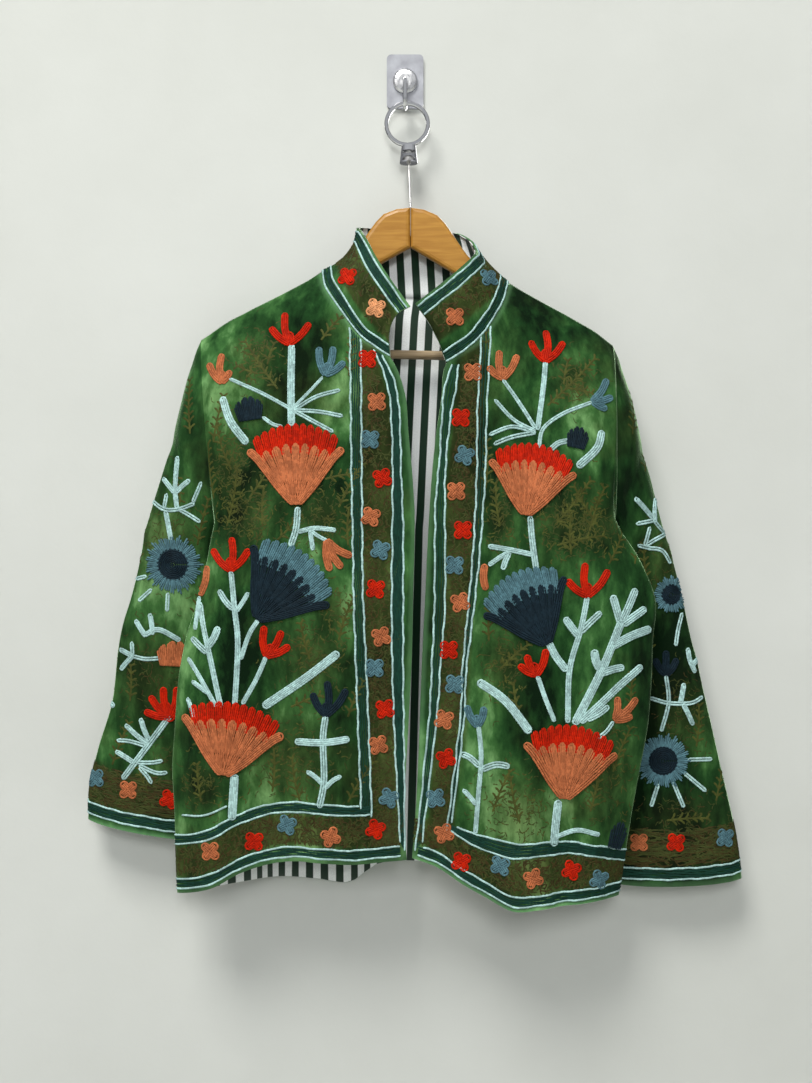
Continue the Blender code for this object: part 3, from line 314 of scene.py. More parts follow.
def shoulder_seam(side, share):
    """The shoulder seam, which lies along the hanger, from the neck to the shoulder point."""
    neck = inner_edge(side, 0)
    tip = sleeve_ring(side, 0)[0]
    point = neck + (tip - neck) * share
    rise = [end[2] - hanger_top(end[0]) - SEAM_LIFT for end in (neck, tip)]
    point[2] = hanger_top(point[0]) + SEAM_LIFT + rise[0] * (1 - share) ** 3 + rise[1] * share ** 6
    return point


def armhole_angle(row):
    """How far round the armhole a row of a panel ends."""
    return math.radians(smooth(ARMHOLE_TURN, row))


def sleeve_point(side, row, angle):
    """A point of a sleeve's ring. The angle runs from its outer edge round the front."""
    outer, inner, half = sleeve_ring(side, row)
    flat = min(row / 5, 1) * 0.35
    depth = math.copysign(abs(math.sin(angle)) ** (1 - flat), math.sin(angle))
    point = (outer + inner) / 2 + (outer - inner) / 2 * math.cos(angle)
    bends = zip(*SLEEVE_BENDS.values())
    trough = sum(deep * math.exp(-(((row - at) / width) ** 2)) for at, width, deep in bends)
    point[1] -= (half - trough * abs(depth)) * depth
    point[2] -= CUFF_SAG * max(row - CUFF_SAG_ROW, 0) / 2 * depth * depth
    return point


def seam_point(side, row, facing):
    """The outer seam of a panel: the armhole (facing 1 in front, -1 behind), then the side seam."""
    if row <= UNDERARM_ROW:
        return sleeve_point(side, 0, facing * armhole_angle(row))
    return read(SIDE_SEAM, row, f"{side}_x y {side}_z")


def fold_shift(rows, x, z):
    """How far the folds stand out of the cloth at a place."""
    shift = 0.0
    for top_x, top_z, foot_x, foot_z, width, out in zip(*rows.values()):
        along = (top_z - z) / (top_z - foot_z)
        fade = 1 / (1 + math.exp(-12 * (along - 0.25)))
        centre = top_x + (foot_x - top_x) * min(max(along, 0), 1)
        past_foot = max(along - 1, 0)
        shift += out * fade * math.exp(-(((x - centre) / width) ** 2) - 30 * past_foot)
    return shift


def front_point(side, row, share):
    """A point of a front, by its row and its share of the way from the front edge to the seam."""
    if row == 0:
        return shoulder_seam(side, share)
    edge = inner_edge(side, row)
    seam = seam_point(side, row, 1)
    fold_x, fold_y, turn, turn_y, mid_y = read(FRONT_FORM[side], row, "fold_x fold_y turn turn_y mid_y")
    turn_x = fold_x - SIDES[side] * turn
    breast_x, middle_x = [
        edge[0] + (turn_x - edge[0]) * station / FRONT_STATIONS[3] for station in FRONT_STATIONS[1:3]
    ]
    across = np.array([
        edge[:2],
        (breast_x, 0.35 * edge[1] + 0.65 * mid_y),
        (middle_x, mid_y),
        (turn_x, turn_y),
        (fold_x, fold_y),
        seam[:2],
    ])
    x, y = flow(FRONT_STATIONS, across, share)
    ends = [shoulder_seam(side, end)[2] for end in (0, 1)]
    slope = shoulder_seam(side, share)[2] - ends[0] - (ends[1] - ends[0]) * share
    hem = FRONT_HEM[side]["height"]
    wave = smooth(FRONT_HEM[side], share) - hem[0] - (hem[-1] - hem[0]) * share
    z = edge[2] + (seam[2] - edge[2]) * share
    z += slope * straight(SHOULDER_SHAPE, row) + wave * straight(HEM_SHAPE, row)
    inside = math.sin(math.pi * min(share / 0.8, 1))
    y -= fold_shift(FRONT_FOLDS, x, z) * min(1, 3 * inside)
    return np.array([x, y, z])


def back_neck(share):
    """The back's neckline, by its share of the way from left to right."""
    return read(BACK_NECK, share, "x y z")


def back_across(row, place):
    """Across and depth of the back at a row and a place."""
    ends = [seam_point(side, row, -1)[:2] for side in SIDES]
    left, right = [
        [read(BACK_FORM, row, f"{side}_{part}_x {part}_y") for part in ("tuck", "knee", "neck")]
        for side in SIDES
    ]
    across = np.array([ends[0], *left, (0.0, BACK_DEPTH), *reversed(right), ends[1]])
    x, y = flow(BACK_STATIONS, across, place)
    if abs(place) < 1:
        near = back_neck((place + 1) / 2)
        x += (near[0] - x) * max(1 - row / UNDERARM_ROW, 0)
        y += (near[1] - y) * max(1 - row / 4, 0)
    return x, y


def back_height(row, place):
    """Height of the back at a row and a place, before its hem is shaped."""
    side = "left" if place < 0 else "right"
    lows = [seam_point(each, max(row, UNDERARM_ROW), -1)[2] for each in SIDES]
    low = lows[0] + (lows[1] - lows[0]) * (place + 2) / 4
    if row >= UNDERARM_ROW:
        return low
    crest = straight(CREST, row)
    fall = straight(FALL, row)
    if abs(place) >= 1:
        top = shoulder_seam(side, abs(place) - 1)[2]
    else:
        top = back_neck((place + 1) / 2)[2]
        crest += (straight(BELOW_NECK, row) - crest) * (1 - place ** 4)
    z = top - crest - fall * (top - crest - low)
    tip = shoulder_seam(side, 1)[2] - straight(CREST, row)
    end = tip - fall * (tip - lows[side == "right"])
    return z + (seam_point(side, row, -1)[2] - end) * max(abs(place) - 1, 0)


def back_point(row, place):
    """A point of the back. Place runs from -2 at the left seam, -1 and 1 at the sides of the neck, to 2."""
    side = "left" if place < 0 else "right"
    if row == 0:
        return shoulder_seam(side, abs(place) - 1) if abs(place) >= 1 else back_neck((place + 1) / 2)
    if abs(place) == 2:
        return seam_point(side, row, -1)
    x, y = back_across(row, place)
    wave = smooth(BACK_HEM, place / 2) - BACK_HEM["height"][0]
    z = back_height(row, place) + wave * straight(HEM_SHAPE, row)
    y -= fold_shift(BACK_FOLDS, x, z) * max(0, 1 - (abs(place) / 1.6) ** 4)
    return np.array([x, y, z])


def collar_point(share, column):
    """A point of the collar, by its share of the way from the neck seam to the top and by its column."""
    if column <= BACK_NECK_START:
        base = inner_edge("left", BACK_NECK_START - column)
    elif column >= BACK_NECK_END:
        base = inner_edge("right", column - BACK_NECK_END)
    else:
        base = back_neck((column - BACK_NECK_START) / (BACK_NECK_END - BACK_NECK_START))
    form = read(COLLAR, column, "x y z mid_x mid_y mid_z")
    return base + (form[:3] - base) * share + form[3:] * 4 * share * (1 - share)


# Steps between the cut's rows and columns
PANEL_STEPS = (6, 5)
SLEEVE_STEPS = (8, 5)
COLLAR_STEPS = (5, 5)
# Steps from a seam over which a crease fades out
SEAM_FADE = 6

# Smaller creases laid on each piece, as soft ridges, or troughs where out is negative
SMALL_CREASES = {
    "front_left": folds(
        (-98, -236, -113, -318, 8.5, 2.2), (-122, -262, -138, -345, 10, -2),
        (-183, -330, -186, -430, 8, 2.6), (-168, -345, -170, -415, 7, -1.8),
        (-206, -390, -214, -520, 9, 2.2), (-205, -560, -236, -640, 11, -2.2),
        (-60, -560, -66, -760, 11, 1.8), (-132, -640, -137, -870, 12, -2.2),
        (-222, -700, -216, -880, 10, 2.4), (-30, -690, -22, -860, 9, -1.8), (-95, -770, -92, -870, 10, 2.2),
        (-176, -450, -156, -500, 8, 1.3),
    ),
    "front_right": folds(
        (128, -258, 129, -392, 9, 2.4), (108, -270, 112, -350, 8, -1.8), (201, -352, 208, -452, 8, 2.6),
        (220, -420, 238, -520, 9, -2.2), (188, -480, 225, -545, 10, 1.6), (90, -680, 94, -800, 8, 2.6),
        (122, -720, 120, -870, 9.5, -2.4), (198, -660, 203, -880, 11, 2.6), (226, -600, 222, -820, 9, -2),
        (36, -560, 31, -760, 8, 1.6), (150, -780, 153, -900, 10, 2), (62, -770, 64, -868, 8, -1.8),
    ),
    "back_panel": folds(
        (-140, -300, -150, -470, 11, 2.4), (150, -310, 158, -460, 10, 2.4),
        (-70, -300, -60, -430, 10, -1.8), (85, -300, 74, -450, 11, -1.8), (-10, -480, -4, -700, 12, 1.6),
        (-86, -560, -78, -860, 12, 2.4), (90, -600, 86, -870, 11, 2.2), (12, -700, 10, -860, 10, -1.8),
        (-130, -640, -138, -880, 10, -2), (140, -620, 134, -880, 11, -2.2),
    ),
    "sleeve_left": folds(
        (-232, -335, -246, -440, 8, 2.6), (-262, -400, -216, -470, 9, -2.6),
        (-290, -500, -225, -560, 9, 2.4), (-240, -560, -252, -690, 10, -2),
        (-305, -600, -290, -720, 9, 1.8), (-225, -660, -228, -800, 8, 2.2),
        (-310, -740, -296, -820, 9, -1.6),
    ),
    "sleeve_right": folds(
        (243, -345, 250, -450, 8, 2.6), (266, -410, 236, -480, 9, -2.4), (292, -520, 240, -590, 10, 2.4),
        (246, -580, 258, -720, 9, -2), (318, -640, 296, -760, 9, 2), (236, -700, 246, -850, 8, 2.2),
        (325, -760, 322, -860, 10, -1.8),
    ),
}


def finer(stations, steps):
    """A table's stations with even steps between each two."""
    last = len(stations) - 1
    return np.interp(np.arange(last * steps + 1) / steps, np.arange(last + 1), stations)


def refined(grid, rows, columns, row_steps, column_steps):
    """A grid read at finer rows and columns, along smooth curves through its points."""
    fine_rows = finer(rows, row_steps)
    fine_columns = finer(columns, column_steps)
    tall = flow(rows, grid.reshape(len(rows), -1), fine_rows).reshape(len(fine_rows), len(columns), 3)
    wide = flow(columns, tall.transpose(1, 0, 2).reshape(len(columns), -1), fine_columns)
    return wide.reshape(len(fine_columns), len(fine_rows), 3).transpose(1, 0, 2)


def distances(points, axis=0):
    """How far along its line each point lies."""
    steps = np.linalg.norm(np.diff(points, axis=axis), axis=-1)
    return np.insert(steps.cumsum(axis=axis), 0, 0, axis=axis)


def crease_shift(creases, points):
    """How far the small creases stand out of the cloth at its points."""
    flat = points[..., ::2]
    shift = np.zeros(points.shape[:2])
    for top_x, top_z, foot_x, foot_z, width, out in zip(*creases.values()):
        top = np.array((top_x, top_z))
        way = np.array((foot_x, foot_z)) - top
        along = np.clip(((flat - top) @ way) / (way @ way), 0, 1)
        apart = np.linalg.norm(flat - top - along[..., None] * way, axis=-1)
        swell = np.sin(math.pi * (0.08 + 0.84 * along)) ** 0.6
        shift += out * swell * np.exp(-((apart / width) ** 2))
    return shift


def seam_hold(count, start, end):
    """A weight that fades to nothing at the named ends."""
    place = np.arange(count)
    weight = np.ones(count)
    if start:
        weight = np.minimum(weight, place / SEAM_FADE)
    if end:
        weight = np.minimum(weight, place[::-1] / SEAM_FADE)
    return weight


def normals_of(points, tube, facing):
    """Unit normals of a fine grid, pointing out of the cloth."""
    across = np.roll(points, -1, 1) - np.roll(points, 1, 1) if tube else np.gradient(points, axis=1)
    normals = np.cross(across, np.gradient(points, axis=0)) * facing
    return normals / np.linalg.norm(normals, axis=-1, keepdims=True)


def flat_pattern(points, tube):
    """Distances across and down the cloth, as it was cut."""
    if tube:
        points = np.concatenate([points, points[:, :1]], axis=1)
    across = distances(points, 1)
    across -= across[:, across.shape[1] // 2, None]
    return np.stack([across, distances(points)], -1)


def spots_of(points, tube):
    """The number of each point of a grid, with a tube's first column again at its end."""
    spots = np.arange(points[..., 0].size).reshape(points.shape[:2])
    return np.pad(spots, ((0, 0), (0, 1)), "wrap") if tube else spots


def corners_of(spots):
    """Corner numbers of a grid's faces."""
    corners = [spots[:-1, :-1], spots[:-1, 1:], spots[1:, 1:], spots[1:, :-1]]
    return np.stack(corners, -1).reshape(-1, 4)


def cloth_form(name, point, rows, columns, steps, facing, seams, tube=False):
    """A piece of cloth at fine steps, with its normals, its flat pattern and its search tree."""
    grid = np.array([[point(row, column) for column in columns] for row in rows])
    if tube:
        grid = np.concatenate([grid[:, -2:], grid, grid[:, :3]], axis=1)
        columns = np.arange(grid.shape[1])
    points = refined(grid, rows, columns, *steps)
    if tube:
        points = points[:, 2 * steps[1]:(len(columns) - 3) * steps[1]]
    hold = np.outer(
        seam_hold(len(points), "top" in seams, False),
        seam_hold(points.shape[1], "start" in seams, "end" in seams),
    )
    shift = crease_shift(SMALL_CREASES.get(name, {}), points) * hold
    points = points + normals_of(points, tube, facing) * shift[..., None]
    faces = corners_of(spots_of(points, tube))
    return {
        "name": name, "points": points, "normals": normals_of(points, tube, facing), "tube": tube,
        "flat": flat_pattern(points, tube), "facing": facing, "sewn": [],
        "tree": BVHTree.FromPolygons(points.reshape(-1, 3).tolist(), faces.tolist()),
    }


def coarser(form):
    """The same form with every other row and column left out."""
    kept = {"tube": form["tube"], "facing": form["facing"]}
    for key in ("points", "normals", "flat"):
        values = form[key]
        down, across = [sorted({*range(0, size, 2), size - 1}) for size in values.shape[:2]]
        kept[key] = values[down][:, across]
    return kept


def make_forms():
    """Every piece of cloth at fine steps."""
    rows, sleeve_rows = range(HEM_ROW + 1), range(CUFF_ROW + 1)
    turns = [armhole_angle(row) for row in range(UNDERARM_ROW + 1)]
    turns += [-angle for angle in reversed(turns[1:-1])]
    back_places = [-1 - share for share in reversed(FRONT_SHARES)]
    back_places += [2 * share - 1 for share in NECK_SHARES] + [1 + share for share in FRONT_SHARES]
    collar_shares = np.arange(COLLAR_ROWS + 1) / COLLAR_ROWS
    collar_columns = [*range(BACK_NECK_START + 1)]
    collar_columns += [BACK_NECK_START + (BACK_NECK_END - BACK_NECK_START) * share for share in NECK_SHARES]
    collar_columns += range(BACK_NECK_END, COLLAR_END + 1)
    forms = []
    for side, facing in (("left", 1), ("right", -1)):
        front, sleeve = partial(front_point, side), partial(sleeve_point, side)
        forms += [
            cloth_form("front_" + side, front, rows, FRONT_SHARES, PANEL_STEPS, facing, ("top", "end")),
            cloth_form("sleeve_" + side, sleeve, sleeve_rows, turns, SLEEVE_STEPS, -facing, ("top",), True),
        ]
    forms += [
        cloth_form("back_panel", back_point, rows, back_places, PANEL_STEPS, 1, ("top", "start", "end")),
        cloth_form("collar", collar_point, collar_shares, collar_columns, COLLAR_STEPS, -1, ("top",)),
    ]
    return {form["name"]: form for form in forms}


def new_object(name, data):
    made = bpy.data.objects.new(name, data)
    bpy.context.scene.collection.objects.link(made)
    return made


def quad_mesh(name, points, quads, flat, finish_numbers, finishes):
    """A smooth mesh from corner numbers, with a flat pattern in metres or stitches."""
    mesh = bpy.data.meshes.new(name)
    mesh.vertices.add(len(points))
    mesh.vertices.foreach_set("co", np.ascontiguousarray(points, np.float32).ravel())
    mesh.loops.add(quads.size)
    mesh.loops.foreach_set("vertex_index", np.ascontiguousarray(quads, np.int32).ravel())
    mesh.polygons.add(len(quads))
    mesh.polygons.foreach_set("loop_start", np.arange(0, quads.size, 4, dtype=np.int32))
    mesh.polygons.foreach_set("material_index", np.ascontiguousarray(finish_numbers, np.int32))
    layer = mesh.uv_layers.new(name="flat")
    layer.data.foreach_set("uv", np.ascontiguousarray(flat, np.float32).ravel())
    mesh.update(calc_edges=True)
    mesh.shade_smooth()
    for finish in finishes:
        mesh.materials.append(finish)
    made = new_object(name, mesh)
    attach(made, "root")
    return made


def add_shell(name, form, start, end, finishes, marks=()):
    """A closed cloth wall between two depths under a form. The last finish is its inner face's."""
    points, normals, facing = form["points"], form["normals"], form["facing"]
    size = points[..., 0].size
    spots = spots_of(points, form["tube"])
    places = np.arange(spots.size).reshape(spots.shape)
    edges = [(spots[row], places[row]) for row in (0, -1)]
    if not form["tube"]:
        edges += [(spots[:, column], places[:, column]) for column in (0, -1)]
    rims = [np.stack([edge[:-1], edge[1:], edge[1:] + size, edge[:-1] + size], -1) for edge, _ in edges]
    rim_places = [np.stack([edge[:-1], edge[1:]] * 2, -1) for _, edge in edges]
    skin, laid = corners_of(spots), corners_of(places)
    quads = np.concatenate([skin[:, ::facing], skin[:, ::-facing] + size, *rims])
    patterns = np.concatenate([laid[:, ::facing], laid[:, ::-facing], *rim_places])
    finish_numbers = np.zeros(len(quads), np.int32)
    finish_numbers[len(skin):2 * len(skin)] = len(finishes) - 1
    both = np.concatenate([(points - normals * deep).reshape(-1, 3) for deep in (start, end)])
    flat = form["flat"].reshape(-1, 2)[patterns]
    made = quad_mesh(name, both, quads, flat, finish_numbers, finishes)
    for mark, values in dict(marks).items():
        layer = made.data.attributes.new(mark, "FLOAT", "POINT")
        layer.data.foreach_set("value", np.concatenate([values.ravel()] * 2).astype(np.float32))
    return made


# Chain stitch: the length of a stitch, the width and height of a row, and how far apart filling rows lie
STITCH = 0.0036
THREAD = 0.0023
THREAD_HEIGHT = 0.0009
SPRIG = 0.0031
PITCH = 0.0020
# Sections of a row of stitches: out to each side and up, as shares of its half width and its height
FULL_ROW = ((-1, -0.2), (-0.52, 1), (0.52, 1), (1, -0.2))
THIN_ROW = ((-1, -0.2), (0, 0.8), (1, -0.2))


def heading(angle):
    return np.array((math.cos(angle), math.sin(angle)))


def even(line):
    """A line at even half stitches, and with it the values that follow its points' places."""
    gone = distances(line[:, :3])
    count = max(2 * round(gone[-1] / STITCH), 2)
    where = np.linspace(0, gone[-1], count + 1)
    return np.stack([np.interp(where, gone, values) for values in line.T], 1)


def route(points, scale=MM):
    """A smooth line through some points, at even half stitches."""
    line = np.array(points, float) * scale
    if len(line) > 2:
        line = flow(np.arange(len(line)), line, np.linspace(0, len(line) - 1, 10 * len(line)))
    return even(line)


def lifted(rows, by):
    """Rows that lie so much higher on the cloth."""
    return [(colour, line, lift + by) for colour, line, lift in rows]


def finger(colour, points, width, raised=0.0004):
    """A row of stitches that goes round a long shape with round ends, and rows that fill it."""
    line = route(points)
    half = (width * MM - PITCH) / 2
    if half < PITCH * 0.3:
        return [(colour, line, raised)]
    along = np.gradient(line, axis=0)
    along /= np.linalg.norm(along, axis=1, keepdims=True) + 1e-9
    side = np.stack([-along[:, 1], along[:, 0]], 1)
    gone = distances(line)
    kept = np.flatnonzero((gone > half * 0.8) & (gone < gone[-1] - half * 0.8))
    if len(kept) < 2:
        kept = np.array([0, len(line) - 1])
    turn = np.linspace(0, math.pi, 7)[1:-1, None]
    foot, tip = [
        line[end] + way * half * (side[end] * np.cos(turn) + along[end] * np.sin(turn))
        for end, way in ((kept[0], -1), (kept[-1], 1))
    ]
    one, two = (line + side * half)[kept], (line - side * half)[kept]
    rows = [(colour, even(np.concatenate([one, tip, two[::-1], foot, one[:1]])), 0.0)]
    inside = max(0, round(2 * half / PITCH) - 1)
    for number in range(inside):
        off = half * (2 * (number + 1) / (inside + 1) - 1)
        cut = half * 0.9 - max(0.0, math.sqrt(half * half - off * off) - PITCH * 0.75)
        filled = (gone > cut) & (gone < gone[-1] - cut)
        if filled.sum() > 1:
            rows.append((colour, even((line + side * off)[filled]), raised))
    return rows


def spread_rows(colour, foot, edge, tops, petals, gap, staggered=False):
    """Petals side by side, each of a few rows that run from a narrow foot to a round top."""
    reach = edge(1)[0] / petals
    per_petal = max(2, round((2 * reach - gap) * MM / PITCH))
    narrow = 1 - gap / (2 * reach)
    rows = []
    for number in range(petals * per_petal):
        middle = (number // per_petal + 0.5) / petals * 2 - 1
        across = (number % per_petal + 0.5) / per_petal * 2 - 1
        share = middle + across / petals * narrow
        end = np.array(edge(share)) + (0, tops * math.sqrt(1 - across * across))
        start = np.array(foot(share))
        bent = edge(middle + across * 0.66 / petals * narrow)[0] - end[0], 0
        skip = (0.0, 0.40, 0.18, 0.40)[number % 4] if staggered else 0
        parts = skip + (1 - skip) * np.array((0, 0.5, 0.86, 1))[:, None]
        line = start + (end - start) * parts + np.array(bent) * np.array((0, 0, 0.1, 1))[:, None]
        rows.append((colour, route(line), 0.0007 * (1 - across * across)))
    return rows


def tulip(colour, base, tips, width=8):
    """Thick petals that open from one round base."""
    base = np.array(base, float)
    rows = []
    if len(tips) > 1:
        middle = np.mean(np.array(tips, float), axis=0) - base
        middle /= np.linalg.norm(middle)
        rows += finger(colour, [base + middle, base + middle * 12], 3 + 2.6 * len(tips))
    for tip in tips:
        way = np.array(tip, float) - base
        side = np.array((way[1], -way[0])) * 0.08 * np.sign(way[0])
        rows += finger(colour, [base - way * 0.04, base + way * 0.5 + side, base + way * 1.04], width)
    return rows


def arc(across, up, fall, width, height):
    """A curve by its share across: highest in the middle, and falling to each side."""
    return lambda share: (share * across * width, height * (up - fall * share * share))


def bud(colour, width, height):
    """A closed bud, round on top and flat below."""
    foot = arc(0.36, 0, 0, width, height)
    return spread_rows(colour, foot, arc(0.48, 0.84, 0.40, width, height), 3.0, 4, 0.3)


def fan(heart, band, width, height, petals=7, scallops=11):
    """A fan flower: side petals with round tips, petals between them, and a scalloped band."""
    foot = arc(0.05, 1.5, -2, width, 1)
    heart_top = arc(0.36, 1.00, 0.18, width, height)
    band_foot = arc(0.35, 0.90, 0.16, width, height)
    band_top = arc(0.44, 1.36, 0.26, width, height)
    rows = spread_rows(band, band_foot, band_top, 4.5, scallops, 0.3)
    rows += lifted(spread_rows(heart, foot, heart_top, 5.5, petals, 0.8, True), 0.0006)
    for side in (-1, 1):
        places = ((0.02, 0.05), (0.17, 0.34), (0.29, 0.62), (0.39, 0.84), (0.475, 0.97))
        line = [(side * across * width, up * height) for across, up in places]
        rows += lifted(finger(heart, line, max(4, width * 0.085)), 0.0009)
    return rows


def blossom(colour, size):
    """A small four-petal flower."""
    rows = []
    for number in range(4):
        way = heading(math.pi / 4 + number * math.pi / 2) * size / 2
        rows += finger(colour, [way * -0.05, way * 0.5, way * 1.08], size * 0.50)
    return rows


def star_flower(middle, rim, size):
    """A round flower: rings of stitches in its middle, and short petals of three rows round them."""
    rows = []
    radius = size * MM / 2
    ring = np.array([heading(angle) for angle in np.linspace(0, 2 * math.pi, 40)])
    for number in range(round(radius * 0.55 / PITCH)):
        rows.append((middle, even(ring * PITCH * (number + 0.6)), 0.0))
    petals = round(math.pi * size * 0.80 / 6.4)
    for number in range(petals * 3):
        across = (number % 3 - 1) * 0.31
        way = heading(2 * math.pi * (number // 3 + across) / petals) * radius
        reach = 0.94 + 0.07 * math.sin(5 * number // 3) + (0.07 if across == 0 else 0)
        rows.append((rim, even(np.array([way * 0.52, way * reach])), 0.0004 if across == 0 else 0.0))
    return rows


def twig(colour, length, bend):
    """A leafy twig that fills the ground, growing up from its foot."""
    rows = [(colour, route([(0, 0), (bend * 0.5, length * 0.5), (bend * 1.6, length)]), 0.0)]
    pairs = max(2, round(length / 8))
    for number in range(pairs):
        share = (number + 0.7) / pairs
        foot = np.array((bend * (0.5 * share + 1.1 * share * share), length * share))
        reach = 9.0 - 3.4 * share
        for side in (-1, 1):
            tip = foot + (side * reach * 0.80, reach * (0.55 + 0.2 * (number % 2)))
            rows.append((colour, route([foot, (foot + tip) / 2 + (0, 0.8), tip]), 0.0))
    return rows


def placed(rows, x, z, turn=0.0):
    """Rows moved to their place, in millimetres, and turned clockwise in degrees."""
    cos, sin = heading(math.radians(turn))
    spin = np.array([[cos, -sin], [sin, cos]])
    return [(colour, line @ spin + (x * MM, z * MM), lift) for colour, line, lift in rows]


def soften(values):
    """A row's normals, evened out along it."""
    padded = np.concatenate([values[:1], values[:1], values, values[-1:], values[-1:]])
    values = sum(padded[start:start + len(values)] for start in range(5))
    return values / np.linalg.norm(values, axis=1, keepdims=True)


def sew(form, rows, behind=False, lift=0.0):
    """Lays rows on a piece of cloth, seen from the front or from behind."""
    start_y, way = (0.2, Vector((0, -1, 0))) if behind else (-0.6, Vector((0, 1, 0)))
    for colour, line, raised in rows:
        points, normals = [], []
        for x, z in line:
            hit, normal, _, _ = form["tree"].ray_cast(Vector((x, start_y, z)), way)
            if hit is None:
                continue
            normal = normal if normal.dot(way) < 0 else -normal
            points.append(hit + normal * (lift + raised))
            normals.append(normal)
        if len(points) > 2:
            form["sewn"].append((colour, np.array(points), soften(np.array(normals))))


def wander(place, number):
    """How far a hand-sewn line strays from its course at each place along it."""
    return 0.0004 * np.sin(160 * place + 2.1 * number) + 0.0003 * np.sin(410 * place + 4.7 * number)


def sew_level(form, colour, distance, from_top, low_x, high_x):
    """A row of stitches right across a piece, at one distance from its edge, between two places across."""
    both = np.concatenate([form["points"], form["normals"]], axis=-1)[::1 if from_top else -1]
    down = distances(both[..., :3])
    reach = distance + wander(both[0, :, 0] + both[0, :, 1], 1000 * np.mean(distance))
    line = []
    for column in range(both.shape[1]):
        at = np.interp(reach[column], down[:, column], np.arange(len(both)))
        low = min(int(at), len(both) - 2)
        line.append(both[low, column] + (both[low + 1, column] - both[low, column]) * (at - low))
    line = np.array(line + line[:1] if form["tube"] else line)
    line = even(line[(line[:, 0] > low_x) & (line[:, 0] < high_x)])
    form["sewn"].append((colour, line[:, :3] + line[:, 3:] * 0.0003, soften(line[:, 3:])))


ALL_ACROSS = ((-1.0, 1.0), (-1.0, 1.0))
# How many rows above a piece's last the curls can reach
REACH_ROWS = 60


def band_levels(form, outer, inner, from_top=False, limits=ALL_ACROSS):
    """A pair of pale lines at two distances from an edge, with a dark band between them."""
    for distance, ends in zip((outer, inner), limits):
        sew_level(form, "mint", distance, from_top, *ends)
    rows = round(np.max(np.abs(outer - inner)) / PITCH) - 1
    for share in (np.arange(rows) + 1) / (rows + 1):
        sew_level(form, "teal", outer + (inner - outer) * share, from_top, *limits[1])


def cloth_place(form, column, distance):
    """The point and normal at a column and at a distance above the piece's last row."""
    low = int(column)
    share = column - low
    points, normals = form["points"][::-1], form["normals"][::-1]
    points = points[:, low] * (1 - share) + points[:, low + 1] * share
    down = distances(points[:REACH_ROWS])
    at = np.interp(max(distance, 0.001), down, np.arange(len(down)))
    row = min(int(at), len(points) - 2)
    point = points[row] + (points[row + 1] - points[row]) * (at - row)
    return np.concatenate([point, normals[row, low]])


def curls(form, low, high, count, chance):
    """Short curled rows scattered over a strip of cloth, between two distances above its last row."""
    flat = form["flat"]
    columns = form["points"].shape[1]
    tops = np.broadcast_to(high, columns)
    spacing = abs(flat[-1, 1, 0] - flat[-1, 0, 0]) + 1e-5
    for number in range(count):
        column = chance.random() * (columns - 2)
        distance = chance.uniform(low, tops[int(column)])
        way = heading(chance.uniform(0, math.pi))
        reach = chance.uniform(0.0024, 0.0042)
        bend = chance.uniform(-0.6, 0.6) * np.array((-way[1], way[0]))
        line = []
        for part in np.linspace(-1, 1, 6):
            across, up = reach * (part * way + (1 - part * part) * bend)
            place = min(max(column + across / spacing, 0), columns - 2)
            line.append(cloth_place(form, place, distance + up))
        line = np.array(line)
        colour = BORDER_COLOURS[number % len(BORDER_COLOURS)]
        form["sewn"].append((colour, line[:, :3], soften(line[:, 3:])))


def line_pair(lines):
    """A pair of pale lines through two lists of places, with a dark band between them, in millimetres."""
    share = np.linspace(0, 1, 90)
    pair = []
    for number, points in enumerate(lines):
        line = flow(np.linspace(0, 1, len(points)), np.array(points, float), share) * MM
        line[:, 0] += wander(line[:, 1], number + len(lines[0]))
        pair.append(line)
    first, second = pair
    gap = np.linalg.norm(first - second, axis=1).mean()
    inside = max(0, int((gap - 0.0024) / PITCH))
    shares = [(number + 1) / (inside + 1) for number in range(inside)]
    rows = [("teal", route(first + (second - first) * share, 1), 0.0) for share in shares]
    return rows + [("mint", route(line, 1), 0.0003) for line in pair]


def small_curl(middle, shortest, longest, bend, chance):
    """A short curled row about a place."""
    step = heading(chance.uniform(0, 2 * math.pi)) * chance.uniform(shortest, longest)
    curl = np.array((-step[1], step[0])) * chance.uniform(-bend, bend)
    return route([middle - step, middle + curl, middle + step])


def ground(sides, count, chance):
    """Short curled rows scattered between two lines of places."""
    sides = np.array(sides, float)
    rows = []
    for number in range(count):
        down = chance.random() * (sides.shape[1] - 1)
        low = min(int(down), sides.shape[1] - 2)
        left, right = sides[:, low] + (sides[:, low + 1] - sides[:, low]) * (down - low)
        middle = left + (right - left) * chance.random()
        colour = BORDER_COLOURS[number % len(BORDER_COLOURS)]
        rows.append((colour, small_curl(middle, 2.4, 4.4, 0.7, chance), -0.0002))
    return rows


def scattered(fills, x, z, wide, tall, count, chance):
    """Short curled rows scattered thickly about a place, and thinly further out."""
    rows = []
    for number in range(count):
        middle = np.array((chance.gauss(x, wide), chance.gauss(z, tall)))
        colour = fills[number % len(fills)]
        rows.append((colour, small_curl(middle, 2.2, 4.6, 0.8, chance), -0.0003))
    return rows


